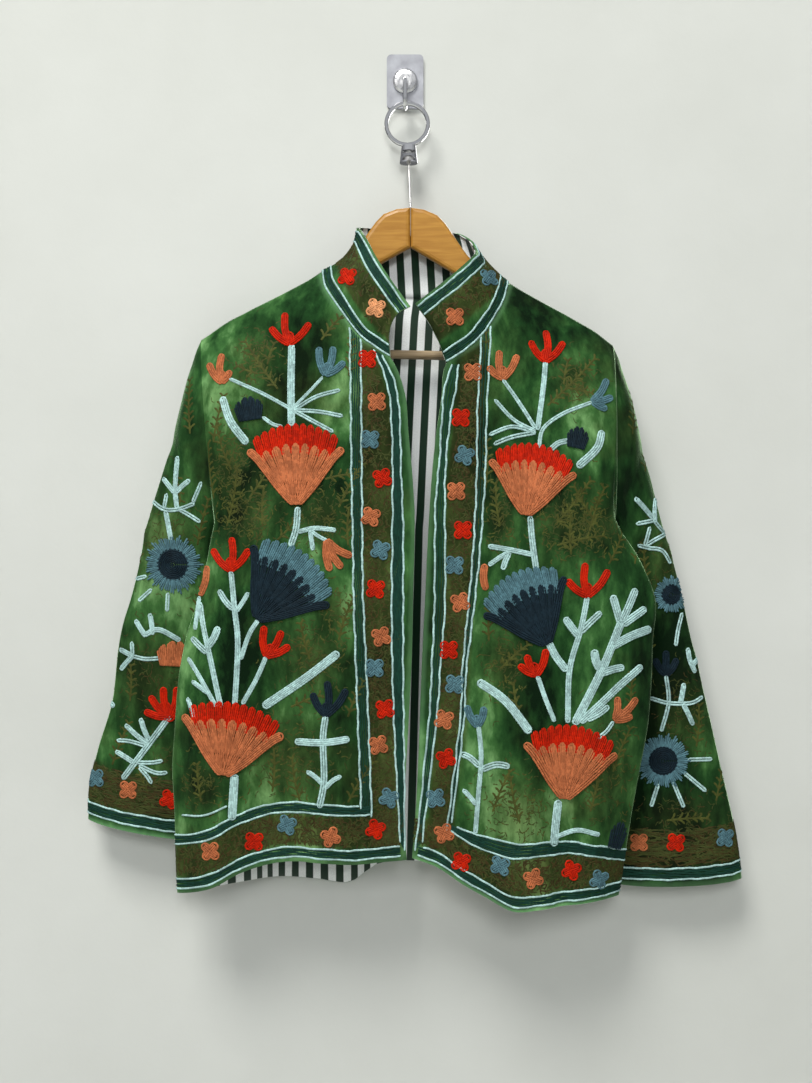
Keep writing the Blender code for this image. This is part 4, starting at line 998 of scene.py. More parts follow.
def ribbon(points, normals, width, profile, number):
    """Corners, faces and pattern of one row of chain stitch."""
    side = np.cross(normals, np.gradient(points, axis=0))
    side /= np.linalg.norm(side, axis=1, keepdims=True) + 1e-9
    count, size = len(points), len(profile)
    full = (np.arange(count) % 2)[:, None]
    half = width / 2 * (0.80 + 0.20 * full)
    half[[0, -1]] *= 0.6
    tall = THREAD_HEIGHT * (0.60 + 0.40 * full)
    rings = np.stack([points + side * half * out + normals * tall * up for out, up in profile], axis=1)
    start = np.arange(count - 1)[:, None] * size + np.arange(size - 1)
    quads = np.stack([start, start + size, start + size + 1, start + 1], -1).reshape(-1, 4)
    stitches = np.arange(count) / 2 + 7.0 * number
    flat = np.stack(np.broadcast_arrays(stitches[:, None], np.linspace(0, 1, size)[None]), -1).reshape(-1, 2)
    return rings.reshape(-1, 3), quads, flat[quads]


def add_stitching(form, threads):
    """All the stitching of a piece of cloth as one mesh, with a finish for each colour."""
    points, quads, flat, finish_numbers = [], [], [], []
    total = 0
    colours = [name for name in threads if any(colour == name for colour, _, _ in form["sewn"])]
    for number, (colour, line, normals) in enumerate(form["sewn"]):
        width, profile = THREAD, FULL_ROW
        if colour in PLAIN_COLOURS:
            width, profile = (SPRIG if colour == "olive" else THREAD * 0.9), THIN_ROW
        corners, faces, pattern = ribbon(line, normals, width, profile, number)
        points.append(corners)
        quads.append(faces + total)
        flat.append(pattern)
        finish_numbers.append(np.full(len(faces), colours.index(colour)))
        total += len(corners)
    parts = [np.concatenate(lists) for lists in (points, quads, flat, finish_numbers)]
    made = quad_mesh(form["name"] + "_stitching", *parts, [threads[colour] for colour in colours])
    return made


# Mint stems and leaves of each piece: a width, then places along a line
STEMS = {
    "front_left": [
        (8, (-122, -304), (-122, -350), (-121, -393)), (4, (-189, -341), (-154, -357), (-121, -375)),
        (3.5, (-87, -340), (-104, -358), (-121, -375)), (4.5, (-69, -355), (-95, -362), (-119, -376)),
        (4.5, (-66, -383), (-92, -378), (-119, -376)), (4.5, (-76, -400), (-98, -388), (-119, -376)),
        (4, (-152, -383), (-141, -391), (-130, -394)), (8.5, (-196, -361), (-186, -388), (-168, -412)),
        (7, (-113, -479), (-115, -503), (-121, -522)), (5, (-113, -506), (-95, -502), (-73, -504)),
        (4, (-100, -504), (-92, -510), (-81, -516)), (5, (-100, -505), (-97, -525)),
        (6, (-184, -548), (-180, -585), (-176, -624), (-179, -688)),
        (6.5, (-198, -567), (-189, -580), (-180, -588)), (5, (-165, -570), (-171, -580), (-178, -590)),
        (5, (-154, -598), (-164, -614), (-173, -640)), (5, (-146, -637), (-156, -660), (-171, -687)),
        (9, (-70, -633), (-105, -660), (-149, -690)),
        (6, (-219, -582), (-215, -603), (-208, -630), (-194, -690)),
        (8, (-197, -606), (-202, -618), (-209, -628)), (7, (-228, -618), (-219, -626), (-209, -634)),
        (5, (-231, -640), (-217, -660), (-199, -690)), (5, (-226, -664), (-217, -670), (-208, -676)),
        (5, (-231, -682), (-223, -702)), (2, (-237, -807), (-210, -804), (-187, -794)),
        (7, (-83, -698), (-86, -723), (-85, -767), (-90, -796)),
        (7.5, (-116, -726), (-86, -727), (-58, -723)), (5, (-67, -762), (-76, -767), (-84, -775)),
        (5, (-103, -757), (-94, -763), (-86, -771)), (9, (-179, -761), (-181, -790), (-182, -809)),
        (5, (-220, -575), (-224, -610)),
    ],
    "front_right": [
        (5.6, (151, -322), (148, -350), (141, -397)), (4.2, (104, -343), (121, -367), (139, -396)),
        (4.2, (95, -365), (115, -386), (139, -399)), (4.4, (89, -403), (114, -394), (139, -400)),
        (4.8, (94, -413), (114, -405), (139, -400)),
        (4.2, (200, -367), (168, -380), (147, -396), (142, -417)),
        (6, (173, -409), (162, -412), (152, -421)), (8.5, (210, -398), (204, -417), (183, -437)),
        (6.5, (132, -490), (134, -515), (138, -545)), (5.5, (135, -530), (112, -525), (88, -521)),
        (5, (110, -527), (101, -532), (88, -541)), (6, (110, -528), (106, -536), (103, -545)),
        (6, (192, -574), (185, -608), (173, -651), (171, -706)), (7, (207, -590), (196, -600), (184, -612)),
        (8, (168, -596), (175, -606), (183, -616)), (8, (150, -620), (158, -636), (170, -652)),
        (5, (139, -657), (147, -680), (157, -705)), (9, (178, -708), (194, -677), (210, -645), (229, -600)),
        (8.5, (219, -573), (224, -590), (228, -603)), (8.5, (245, -566), (236, -586), (229, -600)),
        (8.5, (256, -587), (242, -596), (230, -604)), (9, (262, -609), (240, -616), (218, -627)),
        (9, (199, -630), (201, -642), (206, -652)), (8, (232, -649), (219, -651), (206, -655)),
        (8, (252, -648), (226, -669), (184, -706)), (6.5, (214, -690), (204, -697), (192, -703)),
        (4.5, (220, -706), (212, -716), (202, -723)), (9, (77, -663), (106, -684), (131, -716)),
        (9, (161, -788), (158, -812), (156, -835)), (5, (158, -826), (182, -820), (205, -825)),
        (5, (77, -708), (80, -742), (77, -784), (74, -823)), (6.5, (59, -739), (68, -743), (78, -752)),
        (7, (110, -752), (95, -750), (80, -756)), (5, (61, -777), (67, -783), (75, -793)),
    ],
    "sleeve_left": [
        (5.6, (-247, -424), (-249, -459), (-247, -480)), (5.6, (-264, -447), (-257, -455), (-250, -463)),
        (5.6, (-233, -450), (-241, -456), (-248, -463)),
        (4.6, (-278, -471), (-262, -481), (-245, -481), (-227, -475)), (4.6, (-259, -464), (-262, -480)),
        (4.6, (-219, -452), (-224, -463), (-229, -474)), (4.6, (-245, -481), (-234, -487), (-221, -495)),
        (5.6, (-260, -483), (-257, -498), (-254, -514)), (4.6, (-282, -554), (-295, -557)),
        (4.6, (-276, -568), (-291, -581)), (4.6, (-258, -572), (-259, -592)),
        (5.6, (-294, -602), (-289, -610), (-283, -619)), (5.6, (-278, -595), (-276, -606), (-275, -617)),
        (5.6, (-284, -618), (-268, -612), (-245, -624)), (5.6, (-312, -634), (-303, -638), (-297, -641)),
        (4.6, (-298, -625), (-297, -641)), (5.6, (-311, -656), (-304, -648), (-297, -641)),
        (4.6, (-297, -641), (-283, -644), (-266, -643)), (6.6, (-326, -692), (-318, -697)),
        (6.6, (-254, -703), (-280, -738), (-309, -776)), (5.6, (-305, -716), (-293, -727), (-280, -737)),
        (5.6, (-288, -709), (-284, -722), (-279, -733)), (4.6, (-315, -733), (-300, -734), (-282, -739)),
        (4.6, (-264, -755), (-276, -757), (-293, -757)), (4.6, (-259, -768), (-272, -768), (-290, -760)),
        (4.6, (-276, -780), (-281, -772), (-290, -762)), (5.6, (-316, -745), (-306, -751), (-296, -757)),
    ],
    "sleeve_right": [
        (5.6, (249, -469), (258, -478), (270, -491)), (5.6, (274, -469), (272, -481), (272, -495)),
        (4.6, (250, -497), (261, -495), (271, -493)), (4.6, (270, -492), (276, -499), (284, -507)),
        (4.6, (266, -500), (263, -511), (260, -521)), (4.6, (285, -508), (272, -514), (262, -520)),
        (4.6, (252, -520), (264, -523), (280, -526), (290, -540)),
        (4.6, (303, -594), (298, -612), (295, -630)), (5.6, (309, -633), (311, -645), (317, -659)),
        (5.6, (327, -640), (320, -646), (313, -652)), (4.6, (284, -661), (287, -691), (279, -723)),
        (4.6, (266, -686), (287, -692), (312, -692), (326, -686)),
        (5.6, (304, -671), (302, -682), (300, -692)), (5.6, (314, -716), (309, -705), (303, -693)),
        (4.6, (308, -754), (336, -754)), (4.6, (304, -768), (329, -789)), (4.6, (292, -778), (304, -806)),
        (4.6, (276, -780), (268, -805)),
    ],
}
# Tulips: colour, base, and the tips of the petals
TULIPS = {
    "front_left": [
        ("red", (-124, -303), (-145, -285), (-103, -282), (-130, -269)),
        ("peach", (-197, -345), (-212, -324), (-188, -333), (-198, -314)),
        ("steel", (-85, -338), (-92, -309), (-65, -325), (-77, -309)),
        ("peach", (-82, -515), (-79, -546), (-57, -531), (-67, -543)),
        ("red", (-185, -546), (-205, -525), (-165, -525), (-184, -513)),
        ("red", (-146, -636), (-148, -606), (-122, -626), (-130, -611)),
        ("navy", (-83, -698), (-97, -676), (-62, -672), (-82, -664)), ("peach", (-219, -573), (-212, -543)),
    ],
    "front_right": [
        ("red", (151, -322), (135, -301), (171, -301), (152, -289)),
        ("peach", (104, -342), (89, -330), (120, -317), (101, -313)),
        ("steel", (200, -366), (217, -342), (216, -374), (222, -361)),
        ("red", (192, -573), (171, -557), (214, -547), (190, -540)),
        ("red", (138, -656), (120, -646), (148, -630), (128, -636)),
        ("peach", (221, -704), (224, -681), (240, -701), (245, -683)),
        ("steel", (76, -710), (65, -689), (83, -690)), ("peach", (85, -566), (84, -541)),
    ],
    "sleeve_left": [("red", (-256, -707), (-283, -701), (-277, -685), (-263, -676), (-249, -676))],
    "sleeve_right": [("navy", (284, -661), (272, -644), (296, -644), (284, -636))],
}
# Closed buds: colour, foot, turn, width and height
BUDS = {
    "front_left": [("navy", -165, -387, -8, 34, 28)],
    "front_right": [("navy", 181, -417, 12, 26, 25), ("navy", 221, -842, 18, 22, 32)],
    "sleeve_left": [("peach", -251, -652, 4, 44, 30)],
}
# Round flowers: place and size
STAR_FLOWERS = {
    "sleeve_left": [(-252, -541, 62)],
    "sleeve_right": [(281, -755, 58), (290, -574, 40)],
}
# Fan flowers: place of the stem end, turn, width and height between the curled tips, and colours
FANS = {
    "front_left": [
        (-115, -479, -1, 106, 62, "peach", "red"), (-191, -763, 10, 114, 55, "peach", "red"),
        (-157, -599, 38, 107, 62, "navy", "steel"),
    ],
    "front_right": [
        (127, -490, 9, 97, 55, "peach", "red"), (167, -788, 8, 104, 56, "peach", "red"),
        (150, -626, -25, 99, 60, "navy", "steel"),
    ],
}
# Four-petal flowers of the borders: their colours in turn, and their places
BLOSSOMS = {
    "front_left": (["red", "peach", "steel"], [
        (-40, -322), (-30, -368), (-37, -408), (-24, -449), (-36, -490), (-26, -525), (-31, -566),
        (-25, -616), (-32, -649), (-21, -692), (-28, -730), (-17, -786), (-31, -819), (-78, -826),
        (-124, -814), (-159, -832), (-205, -842),
    ]),
    "front_right": (["peach", "red", "steel"], [
        (72, -336), (59, -385), (63, -425), (54, -463), (61, -504), (52, -541), (58, -580), (46, -630),
        (52, -666), (41, -703), (43, -744), (32, -786), (41, -823), (59, -853), (100, -856), (134, -868),
        (175, -862), (205, -873),
    ]),
    "sleeve_left": (["steel", "peach", "red"], [(-339, -775), (-302, -787), (-257, -797), (-215, -800)]),
    "sleeve_right": (["peach", "red", "steel"], [(255, -844), (295, -844), (350, -840)]),
    "collar": (["red", "light", "peach", "steel"], [(-62, -231), (-31, -268), (53, -277), (91, -230)]),
}
BLOSSOM_SIZE = 19.5
# The back repeats the right front's border flowers only below this height
BACK_BLOSSOMS_TOP = -840
# Fine twigs of the ground: foot, turn, length and bend
TWIGS = {
    "front_left": [
        (-136, -353, -40, 66, 4), (-158, -336, -78, 26, 3), (-148, -326, 6, 26, 3), (-90, -300, 30, 38, 5),
        (-60, -340, 10, 40, -3), (-205, -410, 5, 52, 4), (-185, -440, -30, 50, 6), (-190, -500, 20, 60, -6),
        (-150, -500, -10, 42, 5), (-165, -470, 40, 42, -4), (-205, -470, -12, 60, 4),
        (-70, -480, 20, 52, 5), (-85, -450, 70, 34, 4), (-60, -520, -8, 40, 4), (-135, -515, 50, 36, -4),
        (-70, -620, 10, 48, 5), (-100, -640, -25, 40, 5), (-120, -690, 60, 34, 3), (-60, -700, 15, 42, 4),
        (-110, -790, -20, 48, 5), (-140, -780, 12, 46, -5), (-60, -790, 25, 50, 4),
        (-215, -790, -15, 40, 4), (-205, -740, -60, 20, 2), (-210, -520, -20, 34, 4),
    ],
    "front_right": [
        (152, -371, 50, 76, -4), (176, -352, 92, 26, 3), (170, -348, 2, 28, 3), (90, -310, -20, 34, 4),
        (85, -460, 10, 52, -5), (100, -500, -15, 46, 5), (158, -499, 45, 62, -4), (195, -505, 12, 50, 5),
        (160, -520, 70, 52, 5), (205, -500, -40, 50, 5), (175, -530, -8, 44, 4), (215, -540, 35, 46, -4),
        (88, -620, -5, 40, 3), (100, -650, 40, 40, 4), (120, -700, -20, 36, 4), (92, -800, 15, 48, 4),
        (120, -810, -20, 46, 4), (195, -800, 20, 50, -5), (220, -760, 15, 50, 4), (240, -700, -5, 44, 3),
        (245, -540, 10, 34, 3), (135, -470, -70, 22, 2),
    ],
    "sleeve_left": [
        (-232, -400, -8, 60, 4), (-250, -440, 160, 34, 3), (-225, -520, 10, 52, 3),
        (-290, -540, -15, 46, 4), (-230, -600, 12, 42, 3), (-300, -690, 10, 40, -4),
        (-225, -700, -10, 56, 4), (-320, -760, 15, 50, 4), (-235, -790, 20, 54, 4),
        (-280, -790, -30, 30, 3), (-215, -760, -8, 50, 3),
    ],
    "sleeve_right": [
        (246, -400, 8, 60, -4), (262, -440, 4, 46, 3), (300, -560, 12, 46, 4), (262, -560, -10, 42, 3),
        (268, -640, -12, 52, 4), (318, -740, 12, 46, -4), (250, -740, -6, 56, 4), (340, -800, 10, 48, 3),
        (285, -820, 80, 46, 4), (245, -810, -8, 50, 3),
    ],
}
# Line pairs laid on each front: two lists of places
LINE_PAIRS = {
    "front_left": [
        ([(-59, -287), (-57, -420), (-55, -520), (-54, -578), (-50, -690), (-46, -797)],
         [(-47, -300), (-46, -420), (-45, -520), (-44, -578), (-39, -690), (-35, -806)]),
        ([(-33, -312), (-20, -345), (-15, -377), (-13, -448), (-14, -580), (-13, -661), (-10, -741),
          (-5, -833)],
         [(-24, -318), (-11, -348), (-6, -380), (-4, -448), (-2, -500), (-2, -580), (-2, -661), (-1, -741),
          (0, -842)]),
    ],
    "front_right": [
        ([(92, -285), (87, -373), (85, -439), (82, -487), (78, -535), (72, -590), (64, -655), (62, -703),
          (49, -812)],
         [(82, -290), (77, -373), (76, -439), (74, -487), (71, -535), (66, -590), (60, -655), (58, -703),
          (44, -821)]),
        ([(50, -328), (42, -352), (39, -385), (36, -435), (32, -480), (31, -580), (28, -650), (25, -704),
          (11, -842)],
         [(57, -328), (54, -352), (48, -385), (43, -435), (42, -480), (42, -580), (37, -650), (33, -704),
          (18, -833)]),
    ],
}
# Edges of the bordered ground on each front, outer then inner
BORDERS = {
    "front_left": (
        [(-45, -312), (-44, -520), (-42, -600), (-36, -700), (-33, -806), (-33, -836)],
        [(-35, -312), (-16, -400), (-14, -600), (-12, -700), (-10, -800), (-10, -836)],
    ),
    "front_right": (
        [(82, -312), (76, -440), (66, -590), (58, -700), (47, -806), (44, -836)],
        [(62, -330), (50, -440), (43, -590), (38, -700), (30, -806), (30, -836)],
    ),
}
# Parts of the ground filled with small curls: middle, spread across and down, and how many
GROUNDS = {
    "front_left": [
        (-186, -440, 13, 30, 230), (-165, -490, 18, 20, 210), (-88, -490, 16, 18, 150),
        (-158, -322, 11, 18, 130), (-95, -640, 22, 22, 190), (-120, -745, 30, 28, 230),
        (-215, -775, 14, 16, 90), (-75, -590, 12, 14, 70),
    ],
    "front_right": [
        (100, -490, 9, 22, 110), (175, -495, 24, 22, 300), (182, -345, 13, 15, 100),
        (105, -645, 14, 22, 130), (210, -755, 18, 30, 200), (120, -800, 22, 26, 200),
        (205, -500, 18, 16, 90),
    ],
    "sleeve_left": [(-262, -515, 24, 30, 120), (-275, -665, 26, 30, 150), (-240, -760, 22, 20, 90)],
    "sleeve_right": [(285, -540, 20, 30, 110), (300, -700, 24, 30, 150), (300, -815, 30, 14, 90)],
}
# Heights of the hem's and the cuffs' line pairs above the edge
FRAME_BAND = (0.0620, 0.0520)
HEM_BAND = (0.0150, 0.0050)
CUFF_BAND = (0.0200, 0.0080)
# The collar's line pairs: two distances from its edge, and whether that is its upper edge
COLLAR_BANDS = ((0.0150, 0.0040, False), (0.0120, 0.0015, True))
# Curls: how many fill each front's border, where the hem's start above its edge, how far below the frame's
# lower line they stop and how many there are, and the same for the cuffs and the collar from start to end
BORDER_CURLS = 1700
HEM_CURLS_START = 0.0185
HEM_CURLS_GAP = 0.0030
HEM_CURLS = 1100
CUFF_CURLS = (0.0235, 0.0620, 1200)
COLLAR_CURLS = (0.0180, 0.0460, 1000)
# How much higher flowers lie than the stems and twigs that they cover
FLOWER_LIFT = 0.0006
# How far the right front's frame lines rise above those heights, by place: upper line, lower line
FRAME_DRIFT = table(
    "x upper lower",
    (0.048, -0.010, -0.007), (0.073, -0.0025, -0.006), (0.086, 0.001, -0.004), (0.103, 0.006, 0.001),
    (0.118, 0.0095, 0.005), (0.148, 0.009, 0.0055), (0.178, 0.003, 0.002), (0.200, -0.0025, -0.004),
    (0.229, -0.0135, -0.0145),
)
# Where each front's frame lines and hem lines start and stop, outer line first
FRAME_ENDS = {
    "front_left": ((-1.0, -0.0455), (-1.0, -0.0350)), "front_right": ((0.0490, 1.0), (0.0460, 1.0)),
}
HEM_ENDS = {
    "front_left": ((-1.0, -0.0050), (-1.0, 0.0)), "front_right": ((0.0180, 1.0), (0.0110, 1.0)),
}


def sew_motifs(form, name, behind=False, shift=(0.0, 0.0)):
    """The motifs of one piece, or of another piece's tables moved and laid on it."""
    chance = random.Random(len(name))
    rows, top_rows = [], []
    for x, z, turn, length, bend in TWIGS.get(name, []):
        rows += placed(twig("olive", length, bend), x, z, turn)
    for width, *points in STEMS.get(name, []):
        rows += lifted(finger("mint", points, width), 0.0003)
    for x, z, turn, width, height, heart, band in FANS.get(name, []):
        top_rows += placed(fan(heart, band, width, height), x, z, turn)
    for colour, base, *tips in TULIPS.get(name, []):
        top_rows += tulip(colour, base, tips)
    for colour, x, z, turn, width, height in BUDS.get(name, []):
        top_rows += placed(bud(colour, width, height), x, z, turn)
    for x, z, size in STAR_FLOWERS.get(name, []):
        top_rows += placed(star_flower("navy", "steel", size), x, z)
    colours, places = BLOSSOMS.get(name, ([], []))
    for number, (x, z) in enumerate(places):
        if behind and name == "front_right" and z > BACK_BLOSSOMS_TOP:
            continue
        colour = colours[number % len(colours)]
        top_rows += placed(blossom(colour, BLOSSOM_SIZE), x, z, chance.uniform(-25, 25))
    for some, lift in ((rows, 0.0), (top_rows, FLOWER_LIFT)):
        sew(form, [(colour, line + shift, high) for colour, line, high in some], behind, lift)


def frame_levels(form):
    """Heights of the frame's two lines above the hem, at each column of a piece."""
    levels = [np.full(form["points"].shape[1], height) for height in FRAME_BAND]
    if form["name"] == "front_right":
        place = np.maximum.accumulate(form["points"][-1, :, 0])
        for height, line in zip(levels, ("upper", "lower")):
            height += np.interp(place, FRAME_DRIFT["x"], FRAME_DRIFT[line])
    return levels


def sew_hem(form, chance):
    """The hem's curls between its two bands of lines."""
    upper, lower = frame_levels(form)
    curls(form, HEM_CURLS_START, lower - HEM_CURLS_GAP, HEM_CURLS, chance)
    band_levels(form, *HEM_BAND, limits=HEM_ENDS.get(form["name"], ALL_ACROSS))
    band_levels(form, upper, lower, limits=FRAME_ENDS.get(form["name"], ALL_ACROSS))


def sew_front(form, seed):
    """A front's border, ground and line pairs, then its hem and its plants."""
    name = form["name"]
    chance = random.Random(seed)
    sew(form, ground(BORDERS[name], BORDER_CURLS, chance))
    for cloud in GROUNDS[name]:
        sew(form, scattered(("moss", "olive", "moss"), *cloud, chance))
    for lines in LINE_PAIRS[name]:
        sew(form, line_pair(lines))
    sew_hem(form, chance)
    sew_motifs(form, name)


def sew_back(form):
    """The back's embroidery: the fronts' plants again over the same hem."""
    sew_hem(form, random.Random(13))
    sew_motifs(form, "front_left", True, (0.030, 0.0))
    sew_motifs(form, "front_right", True, (-0.030, 0.0))


def sew_sleeve(form, side):
    """A sleeve's cuff and ground, then its plants in front and again behind."""
    name = form["name"]
    curls(form, *CUFF_CURLS, random.Random(14 + side))
    for cloud in GROUNDS[name]:
        sew(form, scattered(("moss", "brown", "moss"), *cloud, random.Random(15 + side)))
    band_levels(form, *CUFF_BAND)
    sew_motifs(form, name)
    sew_motifs(form, name, True, (side * 0.006, -0.004))


def sew_collar(form):
    """The collar's bands, curls and flowers, in front and behind the neck."""
    curls(form, *COLLAR_CURLS, random.Random(16))
    for upper, lower, from_top in COLLAR_BANDS:
        band_levels(form, upper, lower, from_top)
    sew_motifs(form, "collar")
    for x, colour in ((-45, "red"), (-15, "steel"), (15, "red"), (45, "steel")):
        sew(form, placed(blossom(colour, 15), x, -205), True, FLOWER_LIFT)


# How much lighter or darker each piece's velvet is toned: its nap, and on the right sleeve painted shade for
# the shadow the body casts on it
NAP_AND_PAINTED_SHADE = {
    "front_left": -0.006, "front_right": -0.014, "back_panel": 0.0, "sleeve_left": -0.008,
    "sleeve_right": -0.045, "collar": 0.0,
}


def between(values, low, high, soft):
    """One between two numbers, fading to nothing past them."""
    inside = np.clip(np.minimum(values - low, high - values) / soft + 0.5, 0, 1)
    return inside * inside * (3 - 2 * inside)


def painted_shade_beside_body(form, front):
    """Painted shade: a weight for where a sleeve tucks in behind the front's side fold, which darkens its
    velvet there.
    """
    heights, reach = front["points"][..., 2], np.abs(front["points"][..., 0])
    widest = reach.argmax(axis=1)
    rows = np.arange(len(widest))
    fold = np.interp(-form["points"][..., 2], -heights[rows, widest], reach[rows, widest])
    outside = np.maximum(np.abs(form["points"][..., 0]) - fold, 0)
    return np.exp(-((outside / 0.015) ** 2))


def dense_work(form, above):
    """Where a piece is covered by dense olive work."""
    name = form["name"]
    x, z = form["points"][..., 0], form["points"][..., 2]
    if name == "collar":
        covered = between(above, 0.0160, 0.0480, 0.004)
    elif "sleeve" in name:
        covered = between(above, 0.0200, 0.0640, 0.008)
    else:
        covered = between(above, HEM_BAND[0], frame_levels(form)[1], 0.004)
    if name in BORDERS:
        edges = [np.array(line, float).T * MM for line in BORDERS[name]]
        sides = [np.interp(-z, -heights, places) for places, heights in edges]
        strip = between(x, np.minimum(*sides) - 0.0060, np.maximum(*sides) + 0.0060, 0.004)
        covered = np.maximum(covered, strip * between(z, -0.842, -0.300, 0.02))
    for cloud_x, cloud_z, wide, tall, _ in GROUNDS.get(name, []):
        apart = ((x - cloud_x * MM) / (wide * MM)) ** 2 + ((z - cloud_z * MM) / (tall * MM)) ** 2
        covered = np.maximum(covered, 0.75 * np.exp(-apart / 3))
    return covered


def velvet_marks(form, forms):
    """Where the velvet is covered by dense work, where its edges are painted pale (pile pressed pale there,
    and painted sheen), and its nap tone, which carries painted shade.
    """
    name, points = form["name"], form["points"]
    flat = form["flat"][:, :points.shape[1]]
    above = flat[-1, :, 1] - flat[..., 1]
    edge = above
    # Each piece's tone, which on the right sleeve is painted shade
    nap = np.full(above.shape, NAP_AND_PAINTED_SHADE[name])
    if name.startswith("front"):
        edge = np.minimum(edge, np.abs(flat[..., 0] - flat[:, :1, 0]))
        # The fronts' velvet is toned lighter towards the hem
        nap += 0.022 * between(points[..., 2], -1.0, -0.64, 0.15)
    if "sleeve" in name:
        # Painted shade: the sleeve's velvet darkened next to the body, where it lies in the body's shadow
        nap -= 0.055 * painted_shade_beside_body(form, forms[name.replace("sleeve", "front")])
    # The rim mark pales the velvet near the hem and the front edges: partly pile pressed pale there, partly
    # painted sheen
    return {"ground": dense_work(form, above), "rim": np.exp(-((edge / 0.0035) ** 2)), "nap": nap}


# Materials


def srgb(red, green, blue):
    """A colour of 0 to 255 as the renderer's own."""
    values = [value / 255 for value in (red, green, blue)]
    return tuple(((value + 0.055) / 1.055) ** 2.4 if value > 0.04 else value / 12.92 for value in values)


def feed(tree, made, inputs):
    """Gives a node's sockets their values and links."""
    for key, value in dict(inputs).items():
        if isinstance(value, bpy.types.NodeSocket):
            tree.links.new(value, made.inputs[key])
        else:
            made.inputs[key].default_value = value


def node(tree, kind, inputs=(), **settings):
    """A node with its settings, its sockets' values and its links."""
    made = tree.nodes.new("ShaderNode" + kind)
    for key, value in settings.items():
        setattr(made, key, value)
    feed(tree, made, inputs)
    return made


def new_material(name):
    """A material, its node tree, its shader, and the places on the object and on the flat pattern."""
    made = bpy.data.materials.new(name)
    made.use_nodes = True
    tree = made.node_tree
    places = node(tree, "TexCoord").outputs
    return made, tree, tree.nodes["Principled BSDF"], places["Object"], places["UV"]


def noise(tree, place, scale, detail, **more):
    inputs = {"Vector": place, "Scale": scale, "Detail": detail, **more}
    return node(tree, "TexNoise", inputs).outputs["Fac"]


def maths(tree, operation, *values):
    return node(tree, "Math", enumerate(values), operation=operation).outputs[0]


def mix(tree, share, one, two, how="MIX"):
    return node(tree, "Mix", {0: share, 6: one, 7: two}, data_type="RGBA", blend_type=how).outputs[2]


def spread(tree, value, low, high, to_low, to_high):
    inputs = {"Value": value, "From Min": low, "From Max": high, "To Min": to_low, "To Max": to_high}
    return node(tree, "MapRange", inputs).outputs["Result"]


def ramp(tree, value, *stops):
    """A colour ramp read by a value."""
    made = node(tree, "ValToRGB", {"Fac": value})
    points = made.color_ramp.elements
    while len(points) < len(stops):
        points.new(0.5)
    for point, (place, colour) in zip(points, stops):
        point.position = place
        point.color = (*colour, 1)
    return made.outputs["Color"]


def bump(tree, shader, height, distance, strength=1.0, under=None):
    inputs = {"Height": height, "Distance": distance, "Strength": strength}
    if under is not None:
        inputs["Normal"] = under
    normal = node(tree, "Bump", inputs).outputs["Normal"]
    feed(tree, shader, {"Normal": normal})
    return normal


def velvet_material():
    """Dark green cotton velvet, its nap brushed light and dark in streaks, a little browner in places,
    darkened by the painted shade of its nap mark and paled by painted sheen along its edges.
    """
    made, tree, shader, place, _ = new_material("green_velvet")
    streaks = node(tree, "Mapping", {"Vector": place, "Scale": (1.0, 1.0, 0.45)}).outputs["Vector"]
    nap = noise(tree, streaks, 13.0, 3.0, Roughness=0.5)
    crush = noise(tree, streaks, 75.0, 4.0, Roughness=0.6, Distortion=0.2)
    mixed = maths(tree, "MULTIPLY_ADD", crush, 0.34, maths(tree, "MULTIPLY", nap, 0.66))
    covered, rim, nap_and_painted_shade = [
        node(tree, "Attribute", attribute_name=mark).outputs["Fac"] for mark in ("ground", "rim", "nap")
    ]
    # The nap mark shifts the tone; on the right sleeve and beside the body it is painted shade
    toned = maths(tree, "ADD", mixed, nap_and_painted_shade)
    green = ramp(
        tree, toned,
        (0.37, srgb(6, 25, 9)), (0.47, srgb(27, 60, 27)), (0.55, srgb(52, 92, 46)),
        (0.66, srgb(112, 156, 98)),
    )
    warm = ramp(
        tree, toned,
        (0.36, srgb(16, 20, 7)), (0.50, srgb(38, 44, 18)), (0.60, srgb(58, 66, 29)), (0.70, srgb(86, 96, 50)),
    )
    patches = spread(tree, noise(tree, place, 9.0, 4.0, Roughness=0.6), 0.50, 0.68, 0.0, 0.6)
    share = maths(tree, "MAXIMUM", patches, maths(tree, "MULTIPLY", covered, 0.9))
    colour = mix(tree, share, green, warm)
    # Painted sheen: the velvet mixed towards pale green along its edges, by the rim mark
    colour = mix(tree, maths(tree, "MULTIPLY", rim, 0.4), colour, (*srgb(112, 160, 112), 1))
    feed(tree, shader, {
        "Base Color": colour, "Roughness": 0.9, "Specular IOR Level": 0.08, "Sheen Weight": 1.0,
        "Sheen Roughness": 0.26, "Sheen Tint": (0.60, 0.92, 0.52, 1),
    })
    under = bump(tree, shader, mixed, 0.0030, 0.7)
    bump(tree, shader, noise(tree, place, 1500.0, 2.0), 0.0004, 0.6, under)
    return made


# The lining's stripes: how far apart, how far across they start, and how far they lean
STRIPE_REPEAT = 0.0170
STRIPE_SHIFT = -0.0010
STRIPE_LEAN = 0.0265


